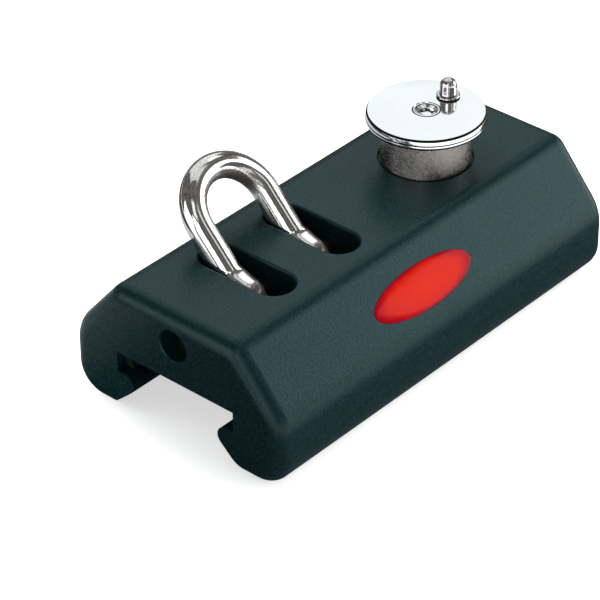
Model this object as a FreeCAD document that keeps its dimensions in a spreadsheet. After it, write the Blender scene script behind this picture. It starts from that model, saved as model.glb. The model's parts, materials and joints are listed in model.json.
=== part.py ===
# Genoa lead car for a 32 mm T-track, with a swinging loop and a spring plunger stop.
#
# Frame: origin at the bottom centre, +X along the track from the loop to the plunger,
# +Y across the track, +Z up. Millimetres. The car stands on the feet of its two lips.

import FreeCAD, Part
import math
import os
import re
from enum import IntEnum

import Sketcher

doc = FreeCAD.newDocument("genoa_car")
sheet = doc.addObject("Spreadsheet::Sheet", "sizes")

# Driving dimensions: name, value in millimetres or degrees, what it is.

SIZES = [
    ("body_length", 119.1, "moulded body along the track"),
    ("body_width", 64.1, "moulded body across the track"),
    ("body_height", 34.1, "feet to top face"),
    ("top_width", 36.9, "top face between its two sloping sides"),
    ("side_height", 18.0, "feet to where a sloping side meets the upright side"),
    ("top_edge_radius", 5.0, "rounding of top face to sloping side"),
    ("shoulder_radius", 12.0, "rounding of sloping side to upright side"),
    ("foot_flat", 3.1, "flat of each foot, from the lip's slope to the foot's rounding"),
    ("end_radius", 3.6, "rounding all round each end face"),
    ("track_width", 32.0, "T-track flange, edge to edge"),
    ("track_flange", 4.0, "T-track flange, thickness"),
    ("track_play", 0.3, "track edge to liner wall, each side"),
    ("track_gap", 0.2, "height that the flange leaves free between the liners"),
    ("slot_roof", 16.4, "feet to the roof of the track slot"),
    ("throat_width", 26.0, "between the tips of the two lips"),
    ("lip_radius", 2.6, "rounded nose of a lip"),
    ("lip_slope", 42.0, "slope of a lip's underside"),
    ("liner_wall", 1.5, "liner thickness beside the track"),
    ("liner_foot", 1.0, "liner thickness under the flange"),
    ("liner_reach", 11.2, "width of the liner's top leg, as its recess in the roof"),
    ("liner_recess", 1.6, "depth of the liner's recess in the roof"),
    ("liner_proud", 0.2, "liner standing below the roof, to carry the car"),
    ("liner_land", 3.0, "end face to the end of the liner"),
    ("liner_foot_gap", 0.2, "end of the liner's foot to the curve of the lip"),
    ("liner_corner_radius", 0.4, "inside corners of the liner"),
    ("liner_screw_count", 3, "screws in each liner"),
    ("liner_screw_spacing", 48.0, "from screw to screw along the liner"),
    ("liner_screw_inset", 8.1, "slot side to the screw's axis"),
    ("liner_screw_diameter", 2.5, "liner screw"),
    ("liner_screw_head", 4.6, "countersunk head across"),
    ("liner_screw_length", 5.5, "liner screw over all"),
    ("liner_screw_hexagon", 1.5, "socket across flats"),
    ("liner_screw_socket", 0.8, "socket depth"),
    ("bail_slot_from_end", 25.05, "end face to the first bail slot's centre"),
    ("bail_slot_spacing", 22.2, "between the centres of the two bail slots"),
    ("bail_slot_width", 10.0, "bail slot along the track"),
    ("bail_slot_play", 0.75, "leaning bail's leg to the round end of its slot"),
    ("hollow_dip", 1.85, "shelf in the bail slot to the bottom of the eyes' hollow"),
    ("bail_slot_lip", 0.7, "rounded rim of the bail slot"),
    ("eye_cover", 2.05, "top face to the top of the bail's eyes"),
    ("eye_floor", 3.25, "wall between the eyes' hollow and the track slot"),
    ("pin_diameter", 6.35, "pivot pin"),
    ("pin_tail", 9.0, "pin beyond the second bail slot's edge"),
    ("pin_chamfer", 0.6, "bevel at both ends of the pin"),
    ("plug_diameter", 8.0, "threaded mouth of the pin's bore"),
    ("plug_length", 8.0, "grub screw that holds the pin in"),
    ("plug_depth", 6.6, "end face to the grub screw"),
    ("plug_hexagon", 4.0, "grub screw's socket across flats"),
    ("plug_socket", 3.5, "grub screw's socket depth"),
    ("plug_chamfer", 0.7, "bevel at both ends of the grub screw"),
    ("mouth_bevel", 0.3, "bevel round the mouth of the pin's bore"),
    ("seat_clearance", 0.05, "radial gap of what is fixed in a bore"),
    ("running_clearance", 0.08, "radial gap of what turns or slides in a bore"),
    ("end_clearance", 0.1, "gap between faces that meet end to end"),
    ("cut_over", 1.0, "how far the section of a cut reaches past the face it opens"),
    ("bail_shift", -1.1, "bail to the middle of its two slots, where it slid on its pin"),
    ("bail_bar", 6.5, "round bar of the bail"),
    ("bail_radius", 10.9, "bail's bend, to the middle of the bar"),
    ("bail_leg", 19.0, "pin's axis to where the bend starts"),
    ("bail_lean", 43.5, "bail's lean at rest, from upright"),
    ("eye_thickness", 6.2, "bail's eyes along the pin"),
    ("eye_neck", 18.0, "pin's axis to where the eye's taper ends inside the leg"),
    ("neck_sink", 0.6, "narrow end of the taper to the leg's surface"),
    ("neck_flat", 0.4, "what the rounding of the eye's rim leaves of the narrow end"),
    ("eye_gap", 0.4, "eye to the hollow that it swings in"),
    ("knob_from_end", 30.45, "far end face to the plunger's axis"),
    ("guide_diameter", 18.4, "plunger guide, outside"),
    ("chamber_diameter", 14.2, "plunger guide, inside"),
    ("nose_bore", 4.9, "length of the nose's bore, from the track slot to the guide's foot"),
    ("guide_proud", 7.3, "plunger guide above the top face"),
    ("guide_roof", 2.5, "thickness of the guide's roof"),
    ("guide_bevel", 0.6, "bevel round the guide's roof"),
    ("nose_diameter", 10.0, "plunger's nose"),
    ("nose_bevel", 1.5, "bevel of the plunger's nose"),
    ("nose_reach", 5.0, "plunger's nose below the roof of the track slot"),
    ("stem_diameter", 6.0, "plunger's stem"),
    ("plunger_lift", 8.0, "travel of the plunger"),
    ("cross_pin_diameter", 2.5, "cross pin through the stem"),
    ("cross_pin_length", 10.0, "cross pin over all"),
    ("cross_pin_bevel", 0.3, "bevel at both ends of the cross pin"),
    ("park_drop", 0.5, "how far the lifted plunger drops when it is turned to park"),
    ("keyway_gap", 0.25, "cross pin to the keyway in the guide's roof"),
    ("spring_wire", 1.4, "plunger spring, wire"),
    ("spring_diameter", 13.4, "plunger spring, outside"),
    ("spring_turns", 4.5, "plunger spring, turns with its closed ones"),
    ("spring_closed_turns", 1, "closed turns at each end of the spring"),
    ("spring_coil_gap", 0.1, "between the wires of a closed turn"),
    ("seat_thickness", 1.5, "washer under the spring"),
    ("disc_diameter", 29.15, "knob's disc"),
    ("disc_thickness", 2.75, "knob's disc"),
    ("disc_height", 13.0, "body's top face to the disc's top"),
    ("disc_rounding", 0.9, "rounded rim of the disc"),
    ("skirt_diameter", 21.9, "knob's skirt, outside"),
    ("skirt_wall", 1.05, "knob's skirt, thickness"),
    ("skirt_bevel", 0.35, "bevel at the foot of the skirt"),
    ("skirt_gap", 0.3, "skirt to the floor of the ring that it stands in"),
    ("ring_depth", 0.7, "ring sunk in the top face round the skirt"),
    ("ring_gap", 0.4, "skirt to the edge of the ring"),
    ("ring_bevel", 0.3, "bevel round the ring"),
    ("hub_diameter", 9.0, "hub under the knob's disc"),
    ("hub_gap", 1.0, "hub to the guide's roof"),
    ("tenon_length", 1.5, "stem's tenon in the hub"),
    ("tenon_width", 4.4, "stem's tenon across its flats"),
    ("knob_screw_diameter", 3.0, "screw through the disc into the stem"),
    ("knob_screw_head", 6.9, "countersunk head across"),
    ("knob_screw_length", 10.0, "knob screw over all"),
    ("knob_screw_hexagon", 2.5, "socket across flats"),
    ("knob_screw_socket", 1.3, "socket depth"),
    ("stud_offset", 8.2, "plunger's axis to the finger stud"),
    ("stud_diameter", 4.0, "finger stud"),
    ("stud_height", 4.75, "finger stud above the disc"),
    ("stud_dome", 1.7, "rounding of the stud's top"),
    ("stud_collar", 5.7, "finger stud's collar, across"),
    ("stud_collar_height", 0.7, "finger stud's collar, height"),
    ("stud_shank", 2.5, "finger stud's shank in the disc"),
    ("badge_length", 33.7, "oval badge along the car"),
    ("badge_width", 10.4, "oval badge down the slope"),
    ("badge_thickness", 1.3, "oval badge, foot to crown"),
    ("badge_rounding", 0.6, "rounded edge of the badge"),
    ("badge_recess", 0.6, "depth of the badge's seat"),
    ("badge_gap", 0.1, "badge to the edge of its seat"),
    ("badge_from_end", 56.05, "near end face to the badge's middle"),
    ("badge_down", 11.9, "edge of the top face to the badge's middle, down the slope"),
]

# Places and sizes that follow from the driving ones. Each may use those above it.

FOLLOWS = {
    "half_length": "body_length / 2",
    "half_width": "body_width / 2",
    "half_top": "top_width / 2",
    "slope_angle": "atan((body_height - side_height) / (half_width - half_top))",
    # track slot and lips
    "slot_half": "track_width / 2 + track_play + liner_wall",
    "lip_top": "slot_roof - liner_proud - track_flange - track_gap - liner_foot",
    "nose_out": "throat_width / 2 + lip_radius",
    "slope_start_out": "nose_out - lip_radius * sin(lip_slope)",
    "slope_start_up": "lip_top - lip_radius - lip_radius * cos(lip_slope)",
    "foot_in": "slope_start_out + slope_start_up / tan(lip_slope)",
    "lip_corner": "slope_start_out - (lip_top - slope_start_up) / tan(lip_slope)",
    "foot_radius": "half_width - foot_in - foot_flat",
    # liners
    "liner_half": "half_length - liner_land",
    "liner_in": "slot_half - liner_reach",
    "liner_under": "slot_roof - liner_proud",
    "liner_top": "slot_roof + liner_recess",
    "liner_screw_out": "slot_half - liner_screw_inset",
    "liner_screw_first": "-liner_screw_spacing * (liner_screw_count - 1) / 2",
    "liner_screw_cone": "(liner_screw_head - liner_screw_diameter) / 2",
    # bail, its slots and its pin
    "slot_one": "bail_slot_from_end - half_length",
    "slot_two": "slot_one + bail_slot_spacing",
    "bail_middle": "(slot_one + slot_two) / 2 + bail_shift",
    "eye_radius": "(body_height - slot_roof - eye_floor - eye_gap - eye_cover) / 2",
    "pivot_depth": "eye_cover + eye_radius",
    "pivot_height": "body_height - pivot_depth",
    "neck_radius": "bail_bar / 2 - neck_sink",
    "eye_rounding": "neck_radius - neck_flat",
    "eye_taper": "asin((eye_radius - neck_radius) / eye_neck) / 1 deg",
    "flank_lean": "bail_lean - eye_taper",
    "leg_reach": "pivot_depth * tan(flank_lean) + eye_radius / cos(flank_lean)",
    "bail_slot_length": "2 * (leg_reach + bail_slot_play)",
    "slot_arc": "bail_slot_length / 2 - bail_slot_width / 2",
    "hollow_radius": "eye_radius + eye_gap",
    "bail_slot_depth": "pivot_depth + hollow_radius - hollow_dip",
    "pin_start": "plug_depth + plug_length + end_clearance - half_length",
    "pin_end": "slot_two + bail_slot_width / 2 + pin_tail",
    # plunger, from the floor of its chamber up
    "knob_x": "half_length - knob_from_end",
    "chamber_floor": "slot_roof + nose_bore",
    "seat_under": "chamber_floor + end_clearance",
    "seat_top": "seat_under + seat_thickness",
    "guide_top": "body_height + guide_proud",
    "roof_under": "guide_top - guide_roof",
    "spring_length": "roof_under - seat_top",
    "spring_mean": "(spring_diameter - spring_wire) / 2",
    "closed_climb": "(spring_wire + spring_coil_gap) / 2",
    "open_length": "spring_length - spring_wire - 4 * spring_closed_turns * closed_climb",
    "open_climb": "open_length / (2 * spring_turns - 4 * spring_closed_turns)",
    "nose_tip": "slot_roof - nose_reach",
    "shoulder_height": "seat_under - seat_clearance",
    "cross_pin_height": "guide_top + park_drop - plunger_lift + cross_pin_diameter / 2",
    "hub_under": "guide_top + hub_gap",
    "tenon_top": "hub_under + tenon_length",
    "disc_top": "body_height + disc_height",
    "disc_under": "disc_top - disc_thickness",
    "skirt_under": "body_height - ring_depth + skirt_gap",
    "knob_screw_cone": "(knob_screw_head - knob_screw_diameter) / 2",
    "knob_screw_tip": "disc_top - knob_screw_length",
}

for row, (alias, number, note) in enumerate(SIZES, start=1):
    sheet.set(f"A{row}", alias)
    sheet.set(f"B{row}", str(number))
    sheet.setAlias(f"B{row}", alias)
    sheet.set(f"C{row}", note)
doc.recompute()

CELLS = {alias for alias, number, note in SIZES}
SLACK = 0.01  # places this close count as the same
SAME_DIRECTION = 0.001  # as do directions this close
WORD = re.compile(r"[A-Za-z_]\w*")


def bound(text):
    """The formula as an expression that reads the sheet's cells."""

    def spelled(match):
        word = match.group()
        if word in CELLS:
            return f"sizes.{word}"
        if word in FOLLOWS:
            return f"({bound(FOLLOWS[word])})"
        return word

    return WORD.sub(spelled, text)


def worth(text):
    """The formula's value now, in millimetres or degrees."""
    number = sheet.evalExpression(bound(text))
    return getattr(number, "Value", number)


# Sketches: every corner and centre is held by dimensions that read the sheet.


class Spot(IntEnum):
    """The sketcher's numbers for the points of an edge."""

    START = 1
    END = 2
    CENTRE = 3


class Axis(IntEnum):
    """The sketcher's numbers for a sketch's own two axes."""

    LEVEL = -1
    UPRIGHT = -2


def new_body(label):
    body = doc.addObject("PartDesign::Body", label)
    body.Label = label
    return body


def bind(thing, **formulas):
    """Binds each named property of a feature to a formula."""
    for name, text in formulas.items():
        thing.setExpression(name, bound(text))


def sketch_on(body, name, role, offset=None):
    """A sketch on one of the body's origin planes, moved off it by bound offsets."""
    sketch = body.newObject("Sketcher::SketchObject", name)
    origin_plane = next(item for item in body.Origin.OriginFeatures if item.Role == role)
    sketch.AttachmentSupport = [(origin_plane, "")]
    sketch.MapMode = "FlatFace"
    for axis, text in (offset or {}).items():
        sketch.setExpression(f"AttachmentOffset.Base.{axis}", bound(text))
    return sketch


def hold(sketch, geometry, place, across, up):
    """Fixes a point of the sketch at two formulas, or on an axis where one is 0."""
    for kind, axis, text in (("DistanceX", Axis.UPRIGHT, across), ("DistanceY", Axis.LEVEL, up)):
        if text == "0":
            sketch.addConstraint(Sketcher.Constraint("PointOnObject", geometry, place, axis))
        else:
            rule = Sketcher.Constraint(kind, Axis.LEVEL, Spot.START, geometry, place, worth(text))
            sketch.setExpression(f"Constraints[{sketch.addConstraint(rule)}]", bound(text))


def outline(sketch, corners):
    """A closed outline of straight edges through corners given as pairs of formulas."""
    points = [FreeCAD.Vector(worth(across), worth(up), 0) for across, up in corners]
    first = sketch.GeometryCount
    for number, point in enumerate(points):
        sketch.addGeometry(Part.LineSegment(point, points[(number + 1) % len(points)]))
    for number, (across, up) in enumerate(corners):
        following = first + (number + 1) % len(points)
        sketch.addConstraint(Sketcher.Constraint("Coincident", first + number, Spot.END, following, Spot.START))
        hold(sketch, first + number, Spot.START, across, up)


def circle(sketch, across, up, radius):
    middle = FreeCAD.Vector(worth(across), worth(up), 0)
    number = sketch.addGeometry(Part.Circle(middle, FreeCAD.Vector(0, 0, 1), worth(radius)))
    hold(sketch, number, Spot.CENTRE, across, up)
    rule = sketch.addConstraint(Sketcher.Constraint("Radius", number, worth(radius)))
    sketch.setExpression(f"Constraints[{rule}]", bound(radius))


def long_hole(sketch, across, arc_up, radius):
    """A slot with full-round ends, upright in its sketch and centred on the level axis."""
    x, y, r = worth(across), worth(arc_up), worth(radius)
    facing = FreeCAD.Vector(0, 0, 1)
    upper = Part.Circle(FreeCAD.Vector(x, y, 0), facing, r)
    lower = Part.Circle(FreeCAD.Vector(x, -y, 0), facing, r)
    top = sketch.addGeometry(Part.ArcOfCircle(upper, 0, math.pi))
    bottom = sketch.addGeometry(Part.ArcOfCircle(lower, math.pi, 2 * math.pi))
    left = sketch.addGeometry(Part.LineSegment(FreeCAD.Vector(x - r, y, 0), FreeCAD.Vector(x - r, -y, 0)))
    right = sketch.addGeometry(Part.LineSegment(FreeCAD.Vector(x + r, -y, 0), FreeCAD.Vector(x + r, y, 0)))
    for one, one_end, other, other_end in (
        (top, Spot.END, left, Spot.START),
        (left, Spot.END, bottom, Spot.START),
        (bottom, Spot.END, right, Spot.START),
        (right, Spot.END, top, Spot.START),
    ):
        sketch.addConstraint(Sketcher.Constraint("Tangent", one, one_end, other, other_end))
    hold(sketch, top, Spot.CENTRE, across, arc_up)
    hold(sketch, bottom, Spot.CENTRE, across, f"-({arc_up})")
    rule = sketch.addConstraint(Sketcher.Constraint("Radius", top, r))
    sketch.setExpression(f"Constraints[{rule}]", bound(radius))


def teardrop(sketch, radius, neck_radius, neck_up):
    """A round end at the sketch's origin that tapers up its upright axis to a smaller round end."""
    big, small, height = worth(radius), worth(neck_radius), worth(neck_up)
    taper = math.asin((big - small) / height)
    facing = FreeCAD.Vector(0, 0, 1)
    aside = FreeCAD.Vector(math.cos(taper), math.sin(taper), 0)
    mirrored = FreeCAD.Vector(-aside.x, aside.y, 0)
    neck = FreeCAD.Vector(0, height, 0)
    round_end = Part.ArcOfCircle(Part.Circle(FreeCAD.Vector(), facing, big), math.pi - taper, 2 * math.pi + taper)
    narrow_end = Part.ArcOfCircle(Part.Circle(neck, facing, small), taper, math.pi - taper)
    foot, top = sketch.addGeometry(round_end), sketch.addGeometry(narrow_end)
    right = sketch.addGeometry(Part.LineSegment(aside * big, neck + aside * small))
    left = sketch.addGeometry(Part.LineSegment(neck + mirrored * small, mirrored * big))
    for one, other in ((foot, right), (right, top), (top, left), (left, foot)):
        sketch.addConstraint(Sketcher.Constraint("Tangent", one, Spot.END, other, Spot.START))
    hold(sketch, foot, Spot.CENTRE, "0", "0")
    hold(sketch, top, Spot.CENTRE, "0", neck_up)
    for arc, text in ((foot, radius), (top, neck_radius)):
        rule = sketch.addConstraint(Sketcher.Constraint("Radius", arc, worth(text)))
        sketch.setExpression(f"Constraints[{rule}]", bound(text))


def hexagon(sketch, across_flats):
    """A regular hexagon round the sketch's origin."""
    corner = f"({across_flats}) / 2 / cos(30)"
    outline(
        sketch,
        [
            (corner, "0"),
            (f"{corner} / 2", f"({across_flats}) / 2"),
            (f"-{corner} / 2", f"({across_flats}) / 2"),
            (f"-{corner}", "0"),
            (f"-{corner} / 2", f"-({across_flats}) / 2"),
            (f"{corner} / 2", f"-({across_flats}) / 2"),
        ],
    )


# Features.


def pad(body, sketch, name, length, both_ways=False, turned_over=False):
    feature = body.newObject("PartDesign::Pad", name)
    feature.Profile = sketch
    bind(feature, Length=length)
    feature.SideType = "Symmetric" if both_ways else "One side"
    feature.Reversed = turned_over
    body.Tip = feature
    doc.recompute()
    return feature


def cut(body, sketch, name, length, both_ways=False, turned_over=False):
    """A pocket, which must take material away."""
    before = body.Shape.Volume
    feature = body.newObject("PartDesign::Pocket", name)
    feature.Profile = sketch
    bind(feature, Length=length)
    feature.SideType = "Symmetric" if both_ways else "One side"
    feature.Reversed = turned_over
    body.Tip = feature
    doc.recompute()
    if body.Shape.Volume >= before:
        raise RuntimeError(f"{body.Label}: {name} cuts nothing")
    return feature


def turn(body, sketch, name, kind="Revolution", angle=360, turned_over=False, axis="V_Axis"):
    """Turns the sketch round its own upright or level axis, as a solid or as a groove."""
    feature = body.newObject(f"PartDesign::{kind}", name)
    feature.Profile = sketch
    feature.ReferenceAxis = (sketch, [axis])
    feature.Angle = angle
    feature.Reversed = turned_over
    body.Tip = feature
    doc.recompute()
    return feature


def turned_body(label, corners):
    """A turned piece about its own Z axis, from half of its section."""
    body = new_body(label)
    section = sketch_on(body, f"{label}_section", "XZ_Plane")
    outline(section, corners)
    turn(body, section, f"{label}_turning")
    return body


def groove(body, name, corners, offset=None, axis="V_Axis"):
    """A turned cut; its axis is the upright or the level one of a moved sketch on the XZ plane."""
    before = body.Shape.Volume
    section = sketch_on(body, f"{name}_section", "XZ_Plane", offset)
    outline(section, corners)
    feature = turn(body, section, name, "Groove", axis=axis)
    if body.Shape.Volume >= before:
        raise RuntimeError(f"{body.Label}: {name} cuts nothing")
    return feature


def dressed(body, kind, name, wanted, **formulas):
    """Rounds or bevels the edges that the test picks."""
    base = body.Tip
    names = [f"Edge{n}" for n, edge in enumerate(base.Shape.Edges, start=1) if wanted(edge)]
    if not names:
        raise RuntimeError(f"{body.Label}: no edge for {name}")
    feature = body.newObject(f"PartDesign::{kind}", name)
    feature.Base = (base, names)
    bind(feature, **formulas)
    body.Tip = feature
    doc.recompute()
    return feature


def role_of(body, role):
    return next(item for item in body.Origin.OriginFeatures if item.Role == role)


def place(body, x="0", y="0", z="0"):
    """Puts the sub-part where the formulas say."""
    for axis, text in (("x", x), ("y", y), ("z", z)):
        if text != "0":
            body.setExpression(f".Placement.Base.{axis}", bound(text))


def lay_along_x(body):
    """Lays a turned piece down, so that its own Z axis runs along the car."""
    body.Placement = FreeCAD.Placement(FreeCAD.Vector(), FreeCAD.Rotation(FreeCAD.Vector(0, 1, 0), 90))


def near(one, other, slack=SLACK):
    return abs(one - other) < slack


def runs_along(edge, axis):
    """True for a straight edge along the axis, 0 for X, 1 for Y, 2 for Z."""
    if not isinstance(edge.Curve, (Part.Line, Part.LineSegment)):
        return False
    return near(abs(edge.tangentAt(edge.FirstParameter)[axis]), 1, SAME_DIRECTION)


def at(edge, **wanted):
    """True where the whole edge lies at the wanted x, y or z."""
    box = edge.BoundBox
    low = {"x": box.XMin, "y": box.YMin, "z": box.ZMin}
    high = {"x": box.XMax, "y": box.YMax, "z": box.ZMax}
    return all(near(low[key], place) and near(high[key], place) for key, place in wanted.items())


# The moulded body: one section along the track, then its slots, bores and seats.


def car_body():
    body = new_body("car_body")
    section = sketch_on(body, "body_section", "YZ_Plane")
    half = [
        ("foot_in", "0"),
        ("half_width", "0"),
        ("half_width", "side_height"),
        ("half_top", "body_height"),
    ]
    slot = [
        ("slot_half", "slot_roof"),
        ("slot_half", "lip_top"),
        ("lip_corner", "lip_top"),
    ]
    mirrored = [(f"-({across})", up) for across, up in reversed(half)]
    mirrored_slot = [(f"-({across})", up) for across, up in reversed(slot)]
    outline(section, half + mirrored + mirrored_slot + slot)
    pad(body, section, "body_bar", "body_length", both_ways=True)
    round_body(body)
    bail_slots(body)
    pin_bore(body)
    plunger_bore(body)
    liner_seats(body)
    badge_seat(body)
    return body


def round_body(body):
    """Rounds the long edges first, then all round both end faces."""
    half_width, half_top = worth("half_width"), worth("half_top")
    heights = {name: worth(name) for name in ("side_height", "body_height", "lip_top")}
    lip_corner = worth("lip_corner")

    def long_edge(across, height):
        return lambda edge: runs_along(edge, 0) and (
            at(edge, y=across, z=height) or at(edge, y=-across, z=height)
        )

    dressed(body, "Fillet", "lip_noses", long_edge(lip_corner, heights["lip_top"]), Radius="lip_radius")
    dressed(body, "Fillet", "feet", long_edge(half_width, 0), Radius="foot_radius")
    dressed(body, "Fillet", "shoulders", long_edge(half_width, heights["side_height"]), Radius="shoulder_radius")
    dressed(body, "Fillet", "top_edges", long_edge(half_top, heights["body_height"]), Radius="top_edge_radius")
    end, foot_in, slot_half = worth("half_length"), worth("foot_in"), worth("slot_half")

    def outer_end_edge(edge):
        middle = edge.valueAt((edge.FirstParameter + edge.LastParameter) / 2)
        if not (at(edge, x=end) or at(edge, x=-end)):
            return False
        on_top = near(middle.z, heights["body_height"])
        return on_top or abs(middle.y) > foot_in + SLACK and not near(abs(middle.y), slot_half)

    dressed(body, "Fillet", "end_rounding", outer_end_edge, Radius="end_radius")


def bail_slots(body):
    """Two slots across the top, each with a hollow below for the bail's eye to swing in."""
    top_plan = sketch_on(body, "bail_slot_plan", "XY_Plane", {"z": "body_height"})
    for across in ("slot_one", "slot_two"):
        long_hole(top_plan, across, "slot_arc", "bail_slot_width / 2")
    cut(body, top_plan, "bail_slots", "bail_slot_depth")
    slot_end = worth("bail_slot_length / 2")

    def rim(edge):
        box = edge.BoundBox
        inside = max(abs(box.YMin), abs(box.YMax)) < slot_end + SLACK
        return inside and at(edge, z=worth("body_height"))

    dressed(body, "Fillet", "bail_slot_rims", rim, Radius="bail_slot_lip")
    for name, across in (("one", "slot_one"), ("two", "slot_two")):
        side = sketch_on(body, f"eye_hollow_{name}_side", "YZ_Plane", {"z": across})
        circle(side, "0", "pivot_height", "hollow_radius")
        cut(body, side, f"eye_hollow_{name}", "bail_slot_width", both_ways=True)


def pin_bore(body):
    """The pin's bore from the near end face, with a wider threaded mouth, turned in one cut."""
    mouth = "plug_diameter / 2"
    bore = "pin_diameter / 2 + seat_clearance"
    step = "plug_depth + plug_length"
    end = "pin_end + end_clearance + half_length"
    groove(
        body,
        "pin_bore",
        [
            ("-cut_over", "0"),
            (end, "0"),
            (end, bore),
            (step, bore),
            (step, mouth),
            ("mouth_bevel", mouth),
            ("-cut_over", f"{mouth} + mouth_bevel + cut_over"),
        ],
        offset={"x": "-half_length", "y": "pivot_height"},
        axis="H_Axis",
    )


def plunger_bore(body):
    """The stepped bore of the plunger: ring, guide seat and nose bore, turned in one cut."""
    above = "body_height + cut_over"
    below = "slot_roof - cut_over"
    ring = "skirt_diameter / 2 + ring_gap"
    ring_floor = "body_height - ring_depth"
    seat = "guide_diameter / 2 + seat_clearance"
    nose = "nose_diameter / 2 + running_clearance"
    groove(
        body,
        "plunger_bore",
        [
            ("0", above),
            (f"{ring} + ring_bevel + cut_over", above),
            (ring, "body_height - ring_bevel"),
            (ring, ring_floor),
            (seat, ring_floor),
            (seat, "chamber_floor"),
            (nose, "chamber_floor"),
            (nose, below),
            ("0", below),
        ],
        offset={"x": "knob_x"},
    )


def liner_seats(body):
    """Recesses in the slot's roof for the liners, with tapped holes above them."""
    roof = sketch_on(body, "liner_recess_plan", "XY_Plane", {"z": "slot_roof"})
    for side in ("", "-"):
        outline(
            roof,
            [
                ("liner_half", f"{side}liner_in"),
                ("liner_half", f"{side}slot_half"),
                ("-liner_half", f"{side}slot_half"),
                ("-liner_half", f"{side}liner_in"),
            ],
        )
    cut(body, roof, "liner_recesses", "liner_recess", turned_over=True)
    tapping = sketch_on(body, "liner_tapping_plan", "XY_Plane", {"z": "liner_top"})
    circle(tapping, "liner_screw_first", "liner_screw_out", "liner_screw_diameter / 2 + seat_clearance")
    depth = "liner_screw_length - liner_recess - liner_proud + end_clearance"
    hole = cut(body, tapping, "liner_tapping", depth, turned_over=True)
    spread_screws(body, "liner_tappings", hole)


def spread_screws(body, name, feature):
    """Repeats one screw or its hole along its liner, then on the other liner."""
    steps = body.newObject("PartDesign::MultiTransform", name)
    steps.Originals = [feature]
    body.Tip = steps
    along = body.newObject("PartDesign::LinearPattern", f"{name}_along")
    along.Direction = (role_of(body, "X_Axis"), [""])
    bind(along, Length="liner_screw_spacing * (liner_screw_count - 1)", Occurrences="liner_screw_count")
    across = body.newObject("PartDesign::Mirrored", f"{name}_across")
    across.MirrorPlane = (role_of(body, "XZ_Plane"), [""])
    steps.Transformations = [along, across]
    body.Tip = steps
    doc.recompute()


def on_slope(sketch):
    """Lays a sketch on the sloping side that carries the badge, at the badge's middle."""
    sketch.AttachmentOffset = FreeCAD.Placement(
        FreeCAD.Vector(), FreeCAD.Rotation(FreeCAD.Vector(1, 0, 0), worth("slope_angle"))
    )
    middle = {
        "x": "badge_from_end - half_length",
        "y": "-half_top - badge_down * cos(slope_angle)",
        "z": "body_height - badge_down * sin(slope_angle)",
    }
    for axis, text in middle.items():
        sketch.setExpression(f"AttachmentOffset.Base.{axis}", bound(text))
    sketch.setExpression("AttachmentOffset.Rotation.Angle", bound("slope_angle"))


def oval(sketch, half_long, half_wide):
    """An ellipse round the sketch's origin, long along X."""
    long_end = FreeCAD.Vector(worth(half_long), 0, 0)
    wide_end = FreeCAD.Vector(0, worth(half_wide), 0)
    number = sketch.addGeometry(Part.Ellipse(long_end, wide_end, FreeCAD.Vector()))
    sketch.exposeInternalGeometry(number)
    long_axis, wide_axis = number + 1, number + 2
    sketch.addConstraint(Sketcher.Constraint("Coincident", number, Spot.CENTRE, Axis.LEVEL, Spot.START))
    sketch.addConstraint(Sketcher.Constraint("Horizontal", long_axis))
    for axis, text in ((long_axis, f"2 * ({half_long})"), (wide_axis, f"2 * ({half_wide})")):
        rule = Sketcher.Constraint("Distance", axis, Spot.START, axis, Spot.END, worth(text))
        sketch.setExpression(f"Constraints[{sketch.addConstraint(rule)}]", bound(text))


def badge_seat(body):
    seat = sketch_on(body, "badge_seat_oval", "XY_Plane")
    on_slope(seat)
    oval(seat, "badge_length / 2 + badge_gap", "badge_width / 2 + badge_gap")
    cut(body, seat, "badge_seat", "badge_recess")


# The oval badge: a plain domed plate in its seat on the sloping side.


def badge():
    body = new_body("badge")
    face = sketch_on(body, "badge_oval", "XY_Plane")
    on_slope(face)
    oval(face, "badge_length / 2", "badge_width / 2")
    pad(body, face, "badge_plate", "badge_thickness")
    drop = FreeCAD.Rotation(FreeCAD.Vector(1, 0, 0), worth("slope_angle")).multVec(FreeCAD.Vector(0, 0, 1))
    middle = face.AttachmentOffset.Base + drop * worth("badge_thickness")

    def crown(edge):
        return near((edge.CenterOfMass - middle).dot(drop), 0)

    dressed(body, "Fillet", "badge_edge", crown, Radius="badge_rounding")
    place(body, y="badge_recess * sin(slope_angle)", z="-badge_recess * cos(slope_angle)")
    return body


# The liners: acetal channels that run on the track, held up into the roof by screws.


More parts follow.
